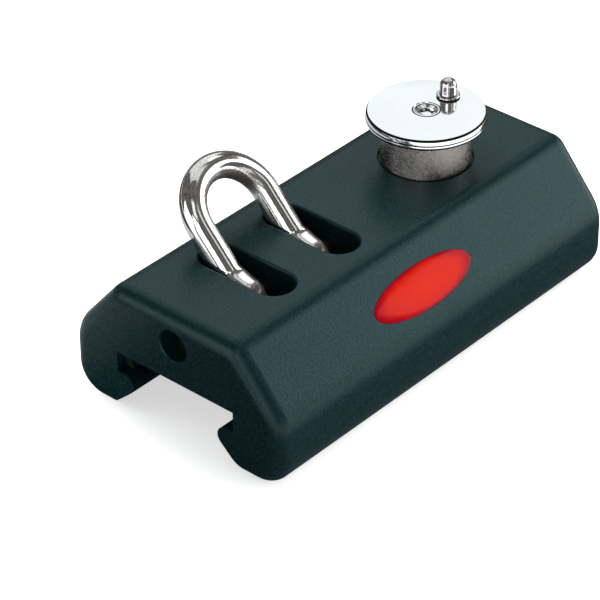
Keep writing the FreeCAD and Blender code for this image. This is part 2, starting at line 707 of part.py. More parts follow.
def liner(label, side):
    """One liner; side is an empty text for +Y and a minus sign for -Y."""
    body = new_body(label)
    section = sketch_on(body, f"{label}_section", "YZ_Plane")
    wall_in = "slot_half - liner_wall"
    foot_end = "nose_out + liner_foot_gap"
    foot_top = "lip_top + liner_foot"
    corners = [
        (foot_end, "lip_top"),
        ("slot_half", "lip_top"),
        ("slot_half", "liner_top"),
        ("liner_in", "liner_top"),
        ("liner_in", "liner_under"),
        (wall_in, "liner_under"),
        (wall_in, foot_top),
        (foot_end, foot_top),
    ]
    outline(section, [(f"{side}({across})", up) for across, up in corners])
    pad(body, section, f"{label}_bar", "2 * liner_half", both_ways=True)
    inner = abs(worth(wall_in))

    def inside_corner(edge):
        box = edge.BoundBox
        return runs_along(edge, 0) and near(abs(box.YMin), inner) and near(abs(box.YMax), inner)

    dressed(body, "Fillet", f"{label}_corners", inside_corner, Radius="liner_corner_radius")
    cone = "liner_screw_cone"
    shank = "liner_screw_diameter / 2 + seat_clearance"
    head = "liner_screw_head / 2 + seat_clearance"
    section = sketch_on(body, f"{label}_hole_section", "XZ_Plane", {"x": "liner_screw_first"})
    section.setExpression("AttachmentOffset.Base.z", bound(f"-({side}liner_screw_out)"))
    outline(
        section,
        [
            ("0", "liner_under - cut_over"),
            (head, "liner_under - cut_over"),
            (head, "liner_under"),
            (shank, f"liner_under + {cone}"),
            (shank, "liner_top + cut_over"),
            ("0", "liner_top + cut_over"),
        ],
    )
    before = body.Shape.Volume
    hole = turn(body, section, f"{label}_hole", "Groove")
    if body.Shape.Volume >= before:
        raise RuntimeError(f"{label}: its hole cuts nothing")
    along = body.newObject("PartDesign::LinearPattern", f"{label}_holes")
    along.Originals = [hole]
    body.Tip = along
    along.Direction = (role_of(body, "X_Axis"), [""])
    bind(along, Length="liner_screw_spacing * (liner_screw_count - 1)", Occurrences="liner_screw_count")
    doc.recompute()
    return body


def liner_screws():
    """Countersunk screws with hexagon sockets, heads down, all in one group."""
    body = new_body("liner_screws")
    body.AllowCompound = True
    head_face = "liner_under"
    section = sketch_on(body, "liner_screw_section", "XZ_Plane", {"x": "liner_screw_first"})
    section.setExpression("AttachmentOffset.Base.z", bound("-liner_screw_out"))
    outline(
        section,
        [
            ("0", head_face),
            ("liner_screw_head / 2", head_face),
            ("liner_screw_diameter / 2", f"{head_face} + liner_screw_cone"),
            ("liner_screw_diameter / 2", f"{head_face} + liner_screw_length"),
            ("0", f"{head_face} + liner_screw_length"),
        ],
    )
    screw = turn(body, section, "liner_screw")
    spread_screws(body, "liner_screw_set", screw)
    sockets = sketch_on(
        body,
        "liner_screw_socket_plan",
        "XY_Plane",
        {"x": "liner_screw_first", "y": "liner_screw_out", "z": head_face},
    )
    hexagon(sockets, "liner_screw_hexagon")
    socket = cut(body, sockets, "liner_screw_socket", "liner_screw_socket", turned_over=True)
    spread_screws(body, "liner_screw_sockets", socket)
    return body


# The bail: a bent round bar whose ends are forged into eyes. It is drawn upright.


def bail():
    """The eyes first, as two tapering forgings, then the legs and the bend that join them."""
    body = new_body("bail")
    body.AllowCompound = True
    for name, across in (("near", "-bail_radius"), ("far", "bail_radius")):
        side = sketch_on(body, f"eye_{name}_side", "YZ_Plane", {"z": across})
        teardrop(side, "eye_radius", "neck_radius", "eye_neck")
        pad(body, side, f"eye_{name}", "eye_thickness", both_ways=True)
    middle, half_thick = worth("bail_radius"), worth("eye_thickness / 2")

    def eye_rim(edge):
        box = edge.BoundBox
        return near(box.XMin, box.XMax) and near(abs(abs(box.XMin) - middle), half_thick)

    dressed(body, "Fillet", "eye_rims", eye_rim, Radius="eye_rounding")
    legs = sketch_on(body, "bail_legs_plan", "XY_Plane", {"z": "eye_radius"})
    for across in ("-bail_radius", "bail_radius"):
        circle(legs, across, "0", "bail_bar / 2")
    pad(body, legs, "bail_legs", "bail_leg - eye_radius")
    bend = sketch_on(body, "bail_bend_circle", "XY_Plane", {"z": "bail_leg"})
    circle(bend, "bail_radius", "0", "bail_bar / 2")
    turn(body, bend, "bail_bend", angle=180, turned_over=True)
    bore = sketch_on(body, "eye_bore_circle", "YZ_Plane")
    circle(bore, "0", "0", "pin_diameter / 2 + running_clearance")
    cut(body, bore, "eye_bores", "2 * (bail_radius + eye_thickness)", both_ways=True)
    body.Placement = FreeCAD.Placement(
        FreeCAD.Vector(), FreeCAD.Rotation(FreeCAD.Vector(-1, 0, 0), worth("bail_lean"))
    )
    body.setExpression(".Placement.Rotation.Angle", bound("bail_lean"))
    place(body, x="bail_middle", z="pivot_height")
    return body


def pivot_pin():
    length = "pin_end - pin_start"
    radius = "pin_diameter / 2"
    body = turned_body(
        "pivot_pin",
        [
            ("0", "0"),
            (f"{radius} - pin_chamfer", "0"),
            (radius, "pin_chamfer"),
            (radius, f"{length} - pin_chamfer"),
            (f"{radius} - pin_chamfer", length),
            ("0", length),
        ],
    )
    lay_along_x(body)
    place(body, x="pin_start", z="pivot_height")
    return body


def pivot_plug():
    """The grub screw behind the pin, its socket towards the end face."""
    radius = "plug_diameter / 2 - seat_clearance"
    body = turned_body(
        "pivot_plug",
        [
            ("0", "0"),
            (f"{radius} - plug_chamfer", "0"),
            (radius, "plug_chamfer"),
            (radius, "plug_length - plug_chamfer"),
            (f"{radius} - plug_chamfer", "plug_length"),
            ("0", "plug_length"),
        ],
    )
    socket = sketch_on(body, "pivot_plug_socket_outline", "XY_Plane")
    hexagon(socket, "plug_hexagon")
    cut(body, socket, "pivot_plug_socket", "plug_socket", turned_over=True)
    lay_along_x(body)
    place(body, x="plug_depth - half_length", z="pivot_height")
    return body


# The plunger stop, all of it about one upright axis at knob_x.


def plunger_guide():
    """A bush pressed into the body: chamber for the spring, keyed roof for the cross pin."""
    outer, inner = "guide_diameter / 2", "chamber_diameter / 2"
    stem = "stem_diameter / 2 + running_clearance"
    body = turned_body(
        "plunger_guide",
        [
            (inner, "chamber_floor"),
            (outer, "chamber_floor"),
            (outer, "guide_top - guide_bevel"),
            (f"{outer} - guide_bevel", "guide_top"),
            (stem, "guide_top"),
            (stem, "roof_under"),
            (inner, "roof_under"),
        ],
    )
    key = sketch_on(body, "keyway_plan", "XY_Plane", {"z": "guide_top"})
    half_long = "cross_pin_length / 2 + keyway_gap"
    half_wide = "cross_pin_diameter / 2 + keyway_gap"
    outline(
        key,
        [
            (half_long, half_wide),
            (f"-({half_long})", half_wide),
            (f"-({half_long})", f"-({half_wide})"),
            (half_long, f"-({half_wide})"),
        ],
    )
    cut(body, key, "keyway", "guide_roof")
    place(body, x="knob_x")
    return body


def plunger():
    """Nose, stem and tenon in one turning, cross-drilled and drilled for the knob screw."""
    nose, stem = "nose_diameter / 2", "stem_diameter / 2"
    body = turned_body(
        "plunger",
        [
            ("0", "nose_tip"),
            (f"{nose} - nose_bevel", "nose_tip"),
            (nose, "nose_tip + nose_bevel"),
            (nose, "shoulder_height"),
            (stem, "shoulder_height"),
            (stem, "tenon_top"),
            ("0", "tenon_top"),
        ],
    )
    flats = sketch_on(body, "tenon_plan", "XY_Plane", {"z": "tenon_top"})
    for side in ("", "-"):
        outline(
            flats,
            [
                ("stem_diameter", f"{side}tenon_width / 2"),
                ("stem_diameter", f"{side}stem_diameter"),
                ("-stem_diameter", f"{side}stem_diameter"),
                ("-stem_diameter", f"{side}tenon_width / 2"),
            ],
        )
    cut(body, flats, "tenon_flats", "tenon_length")
    cross = sketch_on(body, "cross_hole_circle", "YZ_Plane")
    circle(cross, "0", "cross_pin_height", "cross_pin_diameter / 2 + seat_clearance")
    cut(body, cross, "cross_hole", "2 * stem_diameter", both_ways=True)
    thread = sketch_on(body, "stem_thread_circle", "XY_Plane", {"z": "tenon_top"})
    circle(thread, "0", "0", "knob_screw_diameter / 2 + seat_clearance")
    cut(body, thread, "stem_thread", "tenon_top - knob_screw_tip + end_clearance")
    place(body, x="knob_x")
    return body


def cross_pin():
    radius, half = "cross_pin_diameter / 2", "cross_pin_length / 2"
    body = turned_body(
        "cross_pin",
        [
            ("0", f"-{half}"),
            (f"{radius} - cross_pin_bevel", f"-{half}"),
            (radius, f"cross_pin_bevel - {half}"),
            (radius, f"{half} - cross_pin_bevel"),
            (f"{radius} - cross_pin_bevel", half),
            ("0", half),
        ],
    )
    lay_along_x(body)
    place(body, x="knob_x", z="cross_pin_height")
    return body


def spring_seat():
    bore = "stem_diameter / 2 + running_clearance"
    rim = "spring_diameter / 2 + seat_clearance"
    body = turned_body(
        "spring_seat",
        [
            (bore, "seat_under"),
            (rim, "seat_under"),
            (rim, "seat_top"),
            (bore, "seat_top"),
        ],
    )
    place(body, x="knob_x")
    return body


def plunger_spring():
    """A round-wire compression spring, its first and last turns closed.

    Each half turn is half a ring, tilted so that it climbs from one end to the other.
    All the half rings start and end level, so the wire runs on smoothly.
    """
    half_turns = round(2 * worth("spring_turns"))
    closed = round(2 * worth("spring_closed_turns"))
    halves = []
    for number in range(half_turns):
        at_end = number < closed or number >= half_turns - closed
        climb = "closed_climb" if at_end else "open_climb"
        lower = min(number, closed)
        upper = max(0, number - (half_turns - closed))
        middle = number - lower - upper
        start = f"spring_wire / 2 + {lower + upper} * closed_climb + {middle} * open_climb"
        half = doc.addObject("Part::Torus", f"spring_half_turn_{number + 1}")
        bind(
            half,
            Radius1=f"sqrt(spring_mean * spring_mean + ({climb} / 2) * ({climb} / 2))",
            Radius2="spring_wire / 2",
        )
        half.Angle1 = -180
        half.Angle2 = 180
        half.Angle3 = 180
        about = 180 * (number % 2)
        half.Placement = FreeCAD.Placement(
            FreeCAD.Vector(),
            FreeCAD.Rotation(FreeCAD.Vector(0, 0, 1), about)
            * FreeCAD.Rotation(FreeCAD.Vector(0, 1, 0), worth(f"atan({climb} / 2 / spring_mean)")),
        )
        half.setExpression(".Placement.Base.z", bound(f"{start} + {climb} / 2"))
        halves.append(half)
    spring = doc.addObject("Part::MultiFuse", "plunger_spring")
    spring.Label = "plunger_spring"
    spring.Shapes = halves
    place(spring, x="knob_x", z="seat_top")
    doc.recompute()
    return spring


def knob():
    """Disc, skirt and hub in one turning, with holes for its screw and its finger stud."""
    rim, skirt = "disc_diameter / 2", "skirt_diameter / 2"
    inside = "skirt_diameter / 2 - skirt_wall"
    hub, cone = "hub_diameter / 2", "knob_screw_cone"
    head = "knob_screw_head / 2 + seat_clearance"
    shank = "knob_screw_diameter / 2 + seat_clearance"
    body = turned_body(
        "knob",
        [
            (head, "disc_top"),
            (rim, "disc_top"),
            (rim, "disc_under"),
            (skirt, "disc_under"),
            (skirt, "skirt_under + skirt_bevel"),
            (f"{skirt} - skirt_bevel", "skirt_under"),
            (inside, "skirt_under"),
            (inside, "disc_under"),
            (hub, "disc_under"),
            (hub, "hub_under"),
            (shank, "hub_under"),
            (shank, f"disc_top - {cone}"),
        ],
    )
    width, top, under = worth(rim), worth("disc_top"), worth("disc_under")

    def disc_edge(edge):
        if not isinstance(edge.Curve, Part.Circle) or not near(edge.Curve.Radius, width):
            return False
        return at(edge, z=top) or at(edge, z=under)

    dressed(body, "Fillet", "disc_rim", disc_edge, Radius="disc_rounding")
    key = sketch_on(body, "tenon_seat_plan", "XY_Plane", {"z": "hub_under"})
    half_long = "stem_diameter / 2 + seat_clearance"
    half_wide = "tenon_width / 2 + seat_clearance"
    outline(
        key,
        [
            (half_long, half_wide),
            (f"-({half_long})", half_wide),
            (f"-({half_long})", f"-({half_wide})"),
            (half_long, f"-({half_wide})"),
        ],
    )
    cut(body, key, "tenon_seat", "tenon_length + end_clearance", turned_over=True)
    stud = sketch_on(body, "stud_hole_circle", "XY_Plane", {"z": "disc_top"})
    circle(stud, "stud_offset", "0", "stud_shank / 2 + seat_clearance")
    cut(body, stud, "stud_hole", "disc_thickness")
    place(body, x="knob_x")
    return body


def knob_screw():
    body = turned_body(
        "knob_screw",
        [
            ("0", "knob_screw_tip"),
            ("knob_screw_diameter / 2", "knob_screw_tip"),
            ("knob_screw_diameter / 2", "disc_top - knob_screw_cone"),
            ("knob_screw_head / 2", "disc_top"),
            ("0", "disc_top"),
        ],
    )
    socket = sketch_on(body, "knob_screw_socket_outline", "XY_Plane", {"z": "disc_top"})
    hexagon(socket, "knob_screw_hexagon")
    cut(body, socket, "knob_screw_socket", "knob_screw_socket")
    place(body, x="knob_x")
    return body


def finger_stud():
    """A domed pin with a collar, its shank held in the disc."""
    top = "disc_top + stud_height"
    body = turned_body(
        "finger_stud",
        [
            ("0", "disc_under"),
            ("stud_shank / 2", "disc_under"),
            ("stud_shank / 2", "disc_top"),
            ("stud_collar / 2", "disc_top"),
            ("stud_collar / 2", "disc_top + stud_collar_height"),
            ("stud_diameter / 2", "disc_top + stud_collar_height"),
            ("stud_diameter / 2", top),
            ("0", top),
        ],
    )
    height = worth(top)
    dressed(body, "Fillet", "stud_crown", lambda edge: at(edge, z=height), Radius="stud_dome")
    place(body, x="knob_x + stud_offset")
    return body


SUBPARTS = [
    car_body(),
    liner("liner_left", ""),
    liner("liner_right", "-"),
    liner_screws(),
    bail(),
    pivot_pin(),
    pivot_plug(),
    plunger_guide(),
    plunger(),
    cross_pin(),
    spring_seat(),
    plunger_spring(),
    knob(),
    knob_screw(),
    finger_stud(),
    badge(),
]
doc.recompute()

for item in doc.Objects:
    if "Invalid" in item.State or "Error" in item.State:
        raise RuntimeError(f"{item.Name} failed: {item.State}")
for part in SUBPARTS:
    if part.Shape.isNull() or not part.Shape.isValid():
        raise RuntimeError(f"{part.Label} has no valid shape")

os.makedirs("parts", exist_ok=True)
for part in SUBPARTS:
    part.Shape.exportStep(f"parts/{part.Label}.step")
    box = part.Shape.BoundBox
    print(
        f"{part.Label:16s} {len(part.Shape.Solids):2d} solids {part.Shape.Volume:10.1f} mm3 "
        f"x {box.XMin:7.2f} {box.XMax:7.2f}  y {box.YMin:7.2f} {box.YMax:7.2f}  z {box.ZMin:6.2f} {box.ZMax:6.2f}"
    )
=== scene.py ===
# %% [markdown]
# # A genoa car in Blender
#
# A genoa car is deck hardware: it slides on a T-track and leads a sail's sheet. Its shapes come
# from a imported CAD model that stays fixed. This lesson gives those shapes their finishes, makes
# the polished pieces, the badge and the spring again as pieces of their own, and sets up the
# camera and the studio. Every length is in metres. The origin is under the middle of the car,
# +X runs from the loop to the knob, and Z is up.

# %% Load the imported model
import json
from math import asin, atan2, cos, pi, radians, sin

import bmesh
import bpy
import numpy as np
from mathutils import Matrix


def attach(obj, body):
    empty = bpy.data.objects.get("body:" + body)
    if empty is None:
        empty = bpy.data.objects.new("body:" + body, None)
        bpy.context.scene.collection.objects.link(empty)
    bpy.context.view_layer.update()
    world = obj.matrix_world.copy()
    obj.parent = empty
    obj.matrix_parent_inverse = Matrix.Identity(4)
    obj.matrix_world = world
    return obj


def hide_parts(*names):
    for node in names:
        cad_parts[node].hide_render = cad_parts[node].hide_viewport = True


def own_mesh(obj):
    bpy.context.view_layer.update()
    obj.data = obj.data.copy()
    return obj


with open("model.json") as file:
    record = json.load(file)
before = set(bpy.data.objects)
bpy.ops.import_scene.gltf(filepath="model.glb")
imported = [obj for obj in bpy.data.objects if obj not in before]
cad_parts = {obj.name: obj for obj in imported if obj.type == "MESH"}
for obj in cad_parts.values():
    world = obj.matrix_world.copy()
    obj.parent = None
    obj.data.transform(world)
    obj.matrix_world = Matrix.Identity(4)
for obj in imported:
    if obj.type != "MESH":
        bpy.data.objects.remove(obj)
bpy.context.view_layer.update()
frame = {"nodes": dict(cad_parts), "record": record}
NODES = frame["nodes"]
scene = bpy.context.scene

# %% [markdown]
# ## The camera
#
# The photograph was solved for its camera beforehand: where it looks from, how far away it
# stands and how long its lens is. A camera in Blender looks along its own -Z. Its three axes are
# worked out from azimuth, elevation and roll, and go into its matrix as columns.

# %% Camera
AZIMUTH, ELEVATION, ROLL = radians(-48.394), radians(34.683), radians(-0.558)
DISTANCE = 0.70544
LENS, SENSOR = 179.74, 36
AIM = (-0.000275, 0, 0.02231)
AIM_RIGHT, AIM_UP = -0.010866, -0.011953


def unit(v):
    """A vector divided by its own length."""
    return np.asarray(v, float) / np.linalg.norm(v)


def in_scene(name, data):
    """A new object that holds a camera, a lamp or a mesh, linked into the scene."""
    made = bpy.data.objects.new(name, data)
    scene.collection.objects.link(made)
    return made


def stand(made, side, above, away, spot):
    """Stands a camera or lamp at a spot; its X, Y and Z axes are the columns of its matrix."""
    matrix = np.eye(4)
    matrix[:3] = np.column_stack([side, above, away, spot])
    made.matrix_world = Matrix(matrix)


back = np.array([sin(AZIMUTH) * cos(ELEVATION), -cos(AZIMUTH) * cos(ELEVATION), sin(ELEVATION)])
level = unit(np.cross([0, 0, 1], back))
upward = np.cross(back, level)
right = level * cos(ROLL) + upward * sin(ROLL)
up = upward * cos(ROLL) - level * sin(ROLL)
eye = np.array(AIM) + level * AIM_RIGHT + upward * AIM_UP + back * DISTANCE

camera = in_scene("camera", bpy.data.cameras.new("camera"))
camera.data.lens = LENS
camera.data.sensor_width = SENSOR
camera.data.clip_start = 0.05
camera.data.clip_end = 20
stand(camera, right, up, back, eye)
scene.camera = camera
print("camera stands at", np.round(eye, 4))

# %% [markdown]
# ## Helpers for node boards
#
# A material is a board of nodes. `Board.add` places one node, sets its options and either wires
# or sets its inputs, so a whole material reads as a short list.


# %% Node boards
class Board:
    """A node board that starts empty."""

    def __init__(self, owner):
        owner.use_nodes = True
        self.tree = owner.node_tree
        self.tree.nodes.clear()

    def add(self, kind, inputs=None, **options):
        """Adds a node; an input that is given a socket is wired, any other value is set."""
        node = self.tree.nodes.new(f"ShaderNode{kind}")
        for name, value in options.items():
            setattr(node, name, value)
        for name, value in (inputs or {}).items():
            if isinstance(value, bpy.types.NodeSocket):
                self.tree.links.new(value, node.inputs[name])
            else:
                node.inputs[name].default_value = value
        return node.outputs[0] if node.outputs else node

    def place(self):
        """The point on the piece, in metres in the car's own frame."""
        return self.add("TexCoord").node.outputs["Object"]

    def between(self, value, low, high, first, last):
        """Carries a value's range from low to high over to first to last."""
        ends = {"From Min": low, "From Max": high, "To Min": first, "To Max": last}
        return self.add("MapRange", {"Value": value, **ends})

    def math(self, operation, one, other):
        """Two values joined by an operation such as ADD."""
        return self.add("Math", {0: one, 1: other}, operation=operation)

    def dot(self, vector, axis):
        """How far a point lies along an axis."""
        product = self.add("VectorMath", {0: vector, 1: axis}, operation="DOT_PRODUCT")
        return product.node.outputs["Value"]

    def ramp(self, factor, stops):
        """A colour ramp over pairs of position and grey or colour."""
        out = self.add("ValToRGB", {"Fac": factor})
        elements = out.node.color_ramp.elements
        while len(elements) < len(stops):
            elements.new(0.5)
        for element, (position, tone) in zip(elements, stops):
            element.position = position
            element.color = (*tone, 1) if isinstance(tone, tuple) else (tone, tone, tone, 1)
        return out


def new_material(name):
    """A new material and its empty board."""
    material = bpy.data.materials.new(name)
    return material, Board(material)


# %% [markdown]
# ## The finish of the body
#
# The body is hard-anodised: nearly black with a cast of blue-green, and fine-grained like a
# blasted casting. A very dark base colour with a rather rough reflection gives the satin
# look. A noise with detail makes the grain, from about 0.6 mm down, and goes into colour and
# bump. A slow noise lets the roughness wander, as it does where hands and ropes have rubbed.

# %% Body finish
BODY_DARK, BODY_LIGHT = (0.0020, 0.0120, 0.0129), (0.0056, 0.0236, 0.0255)


def body_finish():
    """Anodised metal: a dark grainy colour under a satin gloss."""
    material, board = new_material("anodised_body")
    place = board.place()
    grain = board.add("TexNoise", {"Vector": place, "Scale": 1700, "Detail": 3, "Roughness": 0.7})
    cloud = board.add("TexNoise", {"Vector": place, "Scale": 90, "Detail": 2})
    shader = board.add(
        "BsdfPrincipled",
        {
            "Base Color": board.ramp(grain, [(0.38, BODY_DARK), (0.62, BODY_LIGHT)]),
            "Roughness": board.between(cloud, 0.3, 0.7, 0.21, 0.26),
            "Normal": board.add("Bump", {"Height": grain, "Strength": 0.60, "Distance": 0.00012}),
            "IOR": 1.31,
            "Specular Tint": (0.66, 0.96, 1.0, 1),
        },
    )
    board.add("OutputMaterial", {"Surface": shader})
    return material


# %% [markdown]
# ## The forged eyes, and painted shade on the loop
#
# Where the loop's eyes were forged the surface is matt. Inside the bend and at the eyes' tips,
# where they go down into the slots, a dull brown is painted on as shade. Both zones are measured
# from the point itself: the dot product with the leg's direction is its height above the pin, and
# past the end of the leg that height and the distance aside give the distance from the bend's
# centre, by the root of the sum of squares. The fine noise makes the zones' edges ragged.

# %% Forged zones and painted shade
MM = 0.001
PIVOT = np.array([-24.5, 0, 26.05]) * MM
LEAN = radians(43.5)
LEG_AXIS = np.array([0, sin(LEAN), cos(LEAN)])
LEG = 19.0 * MM
RAGGED = 3 * MM
INSIDE_FADES = (8.0 * MM, 9.6 * MM)
BEND_BEGINS = (LEG - 2 * MM, LEG + 3 * MM)
TIP_FADES = (1.7 * MM, 2.8 * MM)
EYE_FADES = (6.0 * MM, 7.4 * MM)
FORGED_MATT = 0.10


def forged_matt_and_bend_shade(board, place, fine):
    """How much brown painted shade a point of the loop carries, and how much rougher the steel is."""
    above_pin = board.math("SUBTRACT", board.dot(place, LEG_AXIS), float(PIVOT @ LEG_AXIS))
    aside = board.math("SUBTRACT", board.dot(place, (1, 0, 0)), float(PIVOT[0]))
    past_leg = board.math("MAXIMUM", board.math("SUBTRACT", above_pin, LEG), 0)
    squares = board.math("ADD", board.math("POWER", aside, 2), board.math("POWER", past_leg, 2))
    ragged = board.math("MULTIPLY", board.math("SUBTRACT", fine, 0.5), RAGGED)
    from_centre = board.math("ADD", board.math("SQRT", squares, 0), ragged)
    near_centre = board.between(from_centre, *INSIDE_FADES, 1, 0)
    inside = board.math("MULTIPLY", near_centre, board.between(above_pin, *BEND_BEGINS, 0, 1))
    tip = board.between(board.math("ADD", above_pin, ragged), *TIP_FADES, 1, 0)
    eye_matt = board.between(above_pin, *EYE_FADES, FORGED_MATT, 0)
    rougher = board.math("ADD", eye_matt, board.math("MULTIPLY", inside, FORGED_MATT))
    return board.math("MAXIMUM", inside, tip), rougher


# %% [markdown]
# ## The finishes of the metal
#
# The loop and the disc are mirror-polished stainless steel. A mirror is never perfect: a slow
# wave in the bump makes the reflections waver, and a fine noise in the roughness leaves them
# speckled. The loop also has its matt forged eyes, and brown painted shade inside the bend and at the
# eyes' tips.

# %% Polished steel
# the stud's tone is the polished steel painted darker, as shade
DISC_STEEL, LOOP_STEEL, STUD_SHADED_TONE = (0.88, 0.90, 0.91), (0.84, 0.82, 0.80), (0.62, 0.60, 0.59)
# the brown of the painted shade inside the loop's bend and at its eyes' tips
BEND_SHADE_BROWN = (0.13, 0.105, 0.095, 1)
STEEL_METALLIC, BEND_SHADE_METALLIC = 0.97, 0.45


def polished_finish(name, tone, specks, forged_and_shaded=False):
    """Polished steel; its specks keep the given share of the tone."""
    material, board = new_material(name)
    place = board.place()
    wave = board.add("TexNoise", {"Vector": place, "Scale": 240, "Detail": 2})
    fine = board.add("TexNoise", {"Vector": place, "Scale": 2400, "Detail": 2, "Roughness": 0.7})
    rough = board.between(fine, 0.35, 0.65, 0.03, 0.12)
    height = board.math("ADD", wave, board.math("MULTIPLY", fine, 0.12))
    speck_tone = tuple(specks * part for part in tone)
    colour = board.ramp(fine, [(0.36, speck_tone), (0.52, tone)])
    metallic = STEEL_METALLIC
    if forged_and_shaded:
        # brown painted shade inside the bend and at the eyes' tips, and the rougher forged eyes
        bend_shade, rougher = forged_matt_and_bend_shade(board, place, fine)
        rough = board.math("ADD", rough, rougher)
        colour = board.add("MixRGB", {"Fac": bend_shade, "Color1": colour, "Color2": BEND_SHADE_BROWN})
        metallic = board.between(bend_shade, 0, 1, STEEL_METALLIC, BEND_SHADE_METALLIC)
    shader = board.add(
        "BsdfPrincipled",
        {
            "Base Color": colour,
            "Metallic": metallic,
            "Roughness": rough,
            "Normal": board.add("Bump", {"Height": height, "Strength": 0.09, "Distance": 0.0004}),
        },
    )
    board.add("OutputMaterial", {"Surface": shader})
    return material


# %% [markdown]
# Turned steel has a groove for each turn of the lathe, so its noise is stretched level and packed
# tight along the axis. The grooves scatter the light up and down, and the metal looks warmer and
# darker than where it is polished.

# %% Turned steel
def turned_finish(name, dark, light):
    """Lathe-turned steel between two tones, with level grooves."""
    material, board = new_material(name)
    place = board.place()
    stretched = board.add("Mapping", {"Vector": place, "Scale": (3000, 3000, 16000)})
    rings = board.add("TexNoise", {"Vector": stretched, "Scale": 1, "Detail": 3})
    grit = board.add("TexNoise", {"Vector": place, "Scale": 2600, "Detail": 2})
    height = board.math("ADD", rings, board.math("MULTIPLY", grit, 0.3))
    shader = board.add(
        "BsdfPrincipled",
        {
            "Base Color": board.ramp(grit, [(0.36, dark), (0.64, light)]),
            "Metallic": 1,
            "Roughness": board.between(rings, 0.3, 0.7, 0.20, 0.26),
            "Normal": board.add("Bump", {"Height": height, "Strength": 0.60, "Distance": 0.00012}),
        },
    )
    board.add("OutputMaterial", {"Surface": shader})
    return material


# %% [markdown]
# Painted shade: a nearly black, dull material put on the steps, nicks, gaps and feet of the turned
# pieces, where shade falls.

# %% Painted shade
def painted_shade_finish():
    """Painted shade: a nearly black material, nearly without gloss."""
    material, board = new_material("painted_crease_shade")
    fleck = board.add("TexNoise", {"Vector": board.place(), "Scale": 3000, "Detail": 2})
    tone = board.ramp(fleck, [(0.3, (0.002, 0.002, 0.002)), (0.7, (0.008, 0.007, 0.006))])
    shader = board.add("BsdfPrincipled", {"Base Color": tone, "Roughness": 0.6, "IOR": 1.15})
    board.add("OutputMaterial", {"Surface": shader})
    return material


# %% [markdown]
# ## The acetal and the badge
#
# The liners are black acetal, with the dull skin of a machined plastic.

# %% Acetal
def acetal_finish():
    """Black machined plastic."""
    material, board = new_material("acetal")
    fine = board.add("TexNoise", {"Vector": board.place(), "Scale": 1500, "Detail": 2})
    bump = board.add("Bump", {"Height": fine, "Strength": 0.1, "Distance": 0.00003})
    tone = board.ramp(fine, [(0.3, 0.008), (0.7, 0.014)])
    shader = board.add("BsdfPrincipled", {"Base Color": tone, "Roughness": 0.5, "Normal": bump})
    board.add("OutputMaterial", {"Surface": shader})
    return material


# %% [markdown]
# The badge is a drop of clear resin over red: a slightly uneven red below a glossy coat. Towards
# its edge the red is painted deeper: a painted reflection of the dark that the dome's steep edge
# mirrors. That edge zone is an ellipse, so each point is measured along the badge and down the
# slope, and each length is divided by that half axis of the oval. The slope's direction comes
# from its upper edge and its lower edge, each given by its distance from the car's middle plane
# and its height. The badge's middle is given by its place along the car and by how far down the
# slope it lies from that upper edge.

# %% Badge finish
# in millimetres
UPPER_EDGE, LOWER_EDGE = (18.45, 34.1), (32.05, 18.0)
BADGE_ALONG, BADGE_FROM_EDGE = -3.5, 11.9

SLOPE = np.arctan2(UPPER_EDGE[1] - LOWER_EDGE[1], LOWER_EDGE[0] - UPPER_EDGE[0])
ALONG = np.array([1, 0, 0])
DOWN = np.array([0, -cos(SLOPE), -sin(SLOPE)])
OUTWARD = np.array([0, -sin(SLOPE), cos(SLOPE)])
BADGE_LONG, BADGE_WIDE = 16.85 * MM, 5.2 * MM
ABOVE_BADGE = np.array([BADGE_ALONG, -UPPER_EDGE[0], UPPER_EDGE[1]])
BADGE_MIDDLE = (ABOVE_BADGE + BADGE_FROM_EDGE * DOWN) * MM
# the darker stops towards the edge are a painted reflection of the dark that the dome's rim mirrors
BADGE_REDS_AND_PAINTED_RIM = [
    (0.0, (0.64, 0.016, 0.003)),
    (0.78, (0.56, 0.012, 0.004)),
    (0.97, (0.30, 0.002, 0.010)),
]


def badge_finish():
    """Red resin under a clear coat, with a painted dark reflection towards the oval's edge."""
    material, board = new_material("red_resin")
    place = board.place()
    squares = []
    for axis, half in ((ALONG, BADGE_LONG), (DOWN, BADGE_WIDE)):
        offset = board.math("SUBTRACT", board.dot(place, axis), float(BADGE_MIDDLE @ axis))
        squares.append(board.math("POWER", board.math("DIVIDE", offset, half), 2))
    from_middle = board.math("SQRT", board.math("ADD", *squares), 0)
    cloud = board.add("TexNoise", {"Vector": place, "Scale": 160, "Detail": 2})
    rim_reflection_and_cloud = board.math("ADD", from_middle, board.between(cloud, 0.3, 0.7, -0.04, 0.04))
    shader = board.add(
        "BsdfPrincipled",
        {
            "Base Color": board.ramp(rim_reflection_and_cloud, BADGE_REDS_AND_PAINTED_RIM),
            "Roughness": 0.35,
            "Specular IOR Level": 0.0,
            "Coat Weight": 1.0,
            "Coat Roughness": 0.04,
            "Coat IOR": 1.16,
        },
    )
    board.add("OutputMaterial", {"Surface": shader})
    return material


# %% [markdown]
# ## Finishes on the CAD nodes
#
# Each node's slot in the record names its finish. The nodes that are replaced further down get
# theirs as well, because they stay in the file. The pivot pin is turned steel too, but it lies in
# the shade of the slots, so it gets a darker copy of that finish as painted shade.

# %% Finishes on the CAD nodes
BODY = body_finish()
POLISHED = polished_finish("polished_steel", DISC_STEEL, specks=0.96)
# the stud gets a darker copy of the polished steel: painted shade, so that it mirrors less light
SHADED_POLISHED = polished_finish("polished_steel_painted_darker", STUD_SHADED_TONE, specks=0.7)
FORGED_AND_SHADED = polished_finish("forged_polished_steel_with_painted_shade", LOOP_STEEL, specks=0.75, forged_and_shaded=True)
TURNED = turned_finish("turned_steel", (0.41, 0.365, 0.335), (0.58, 0.53, 0.49))
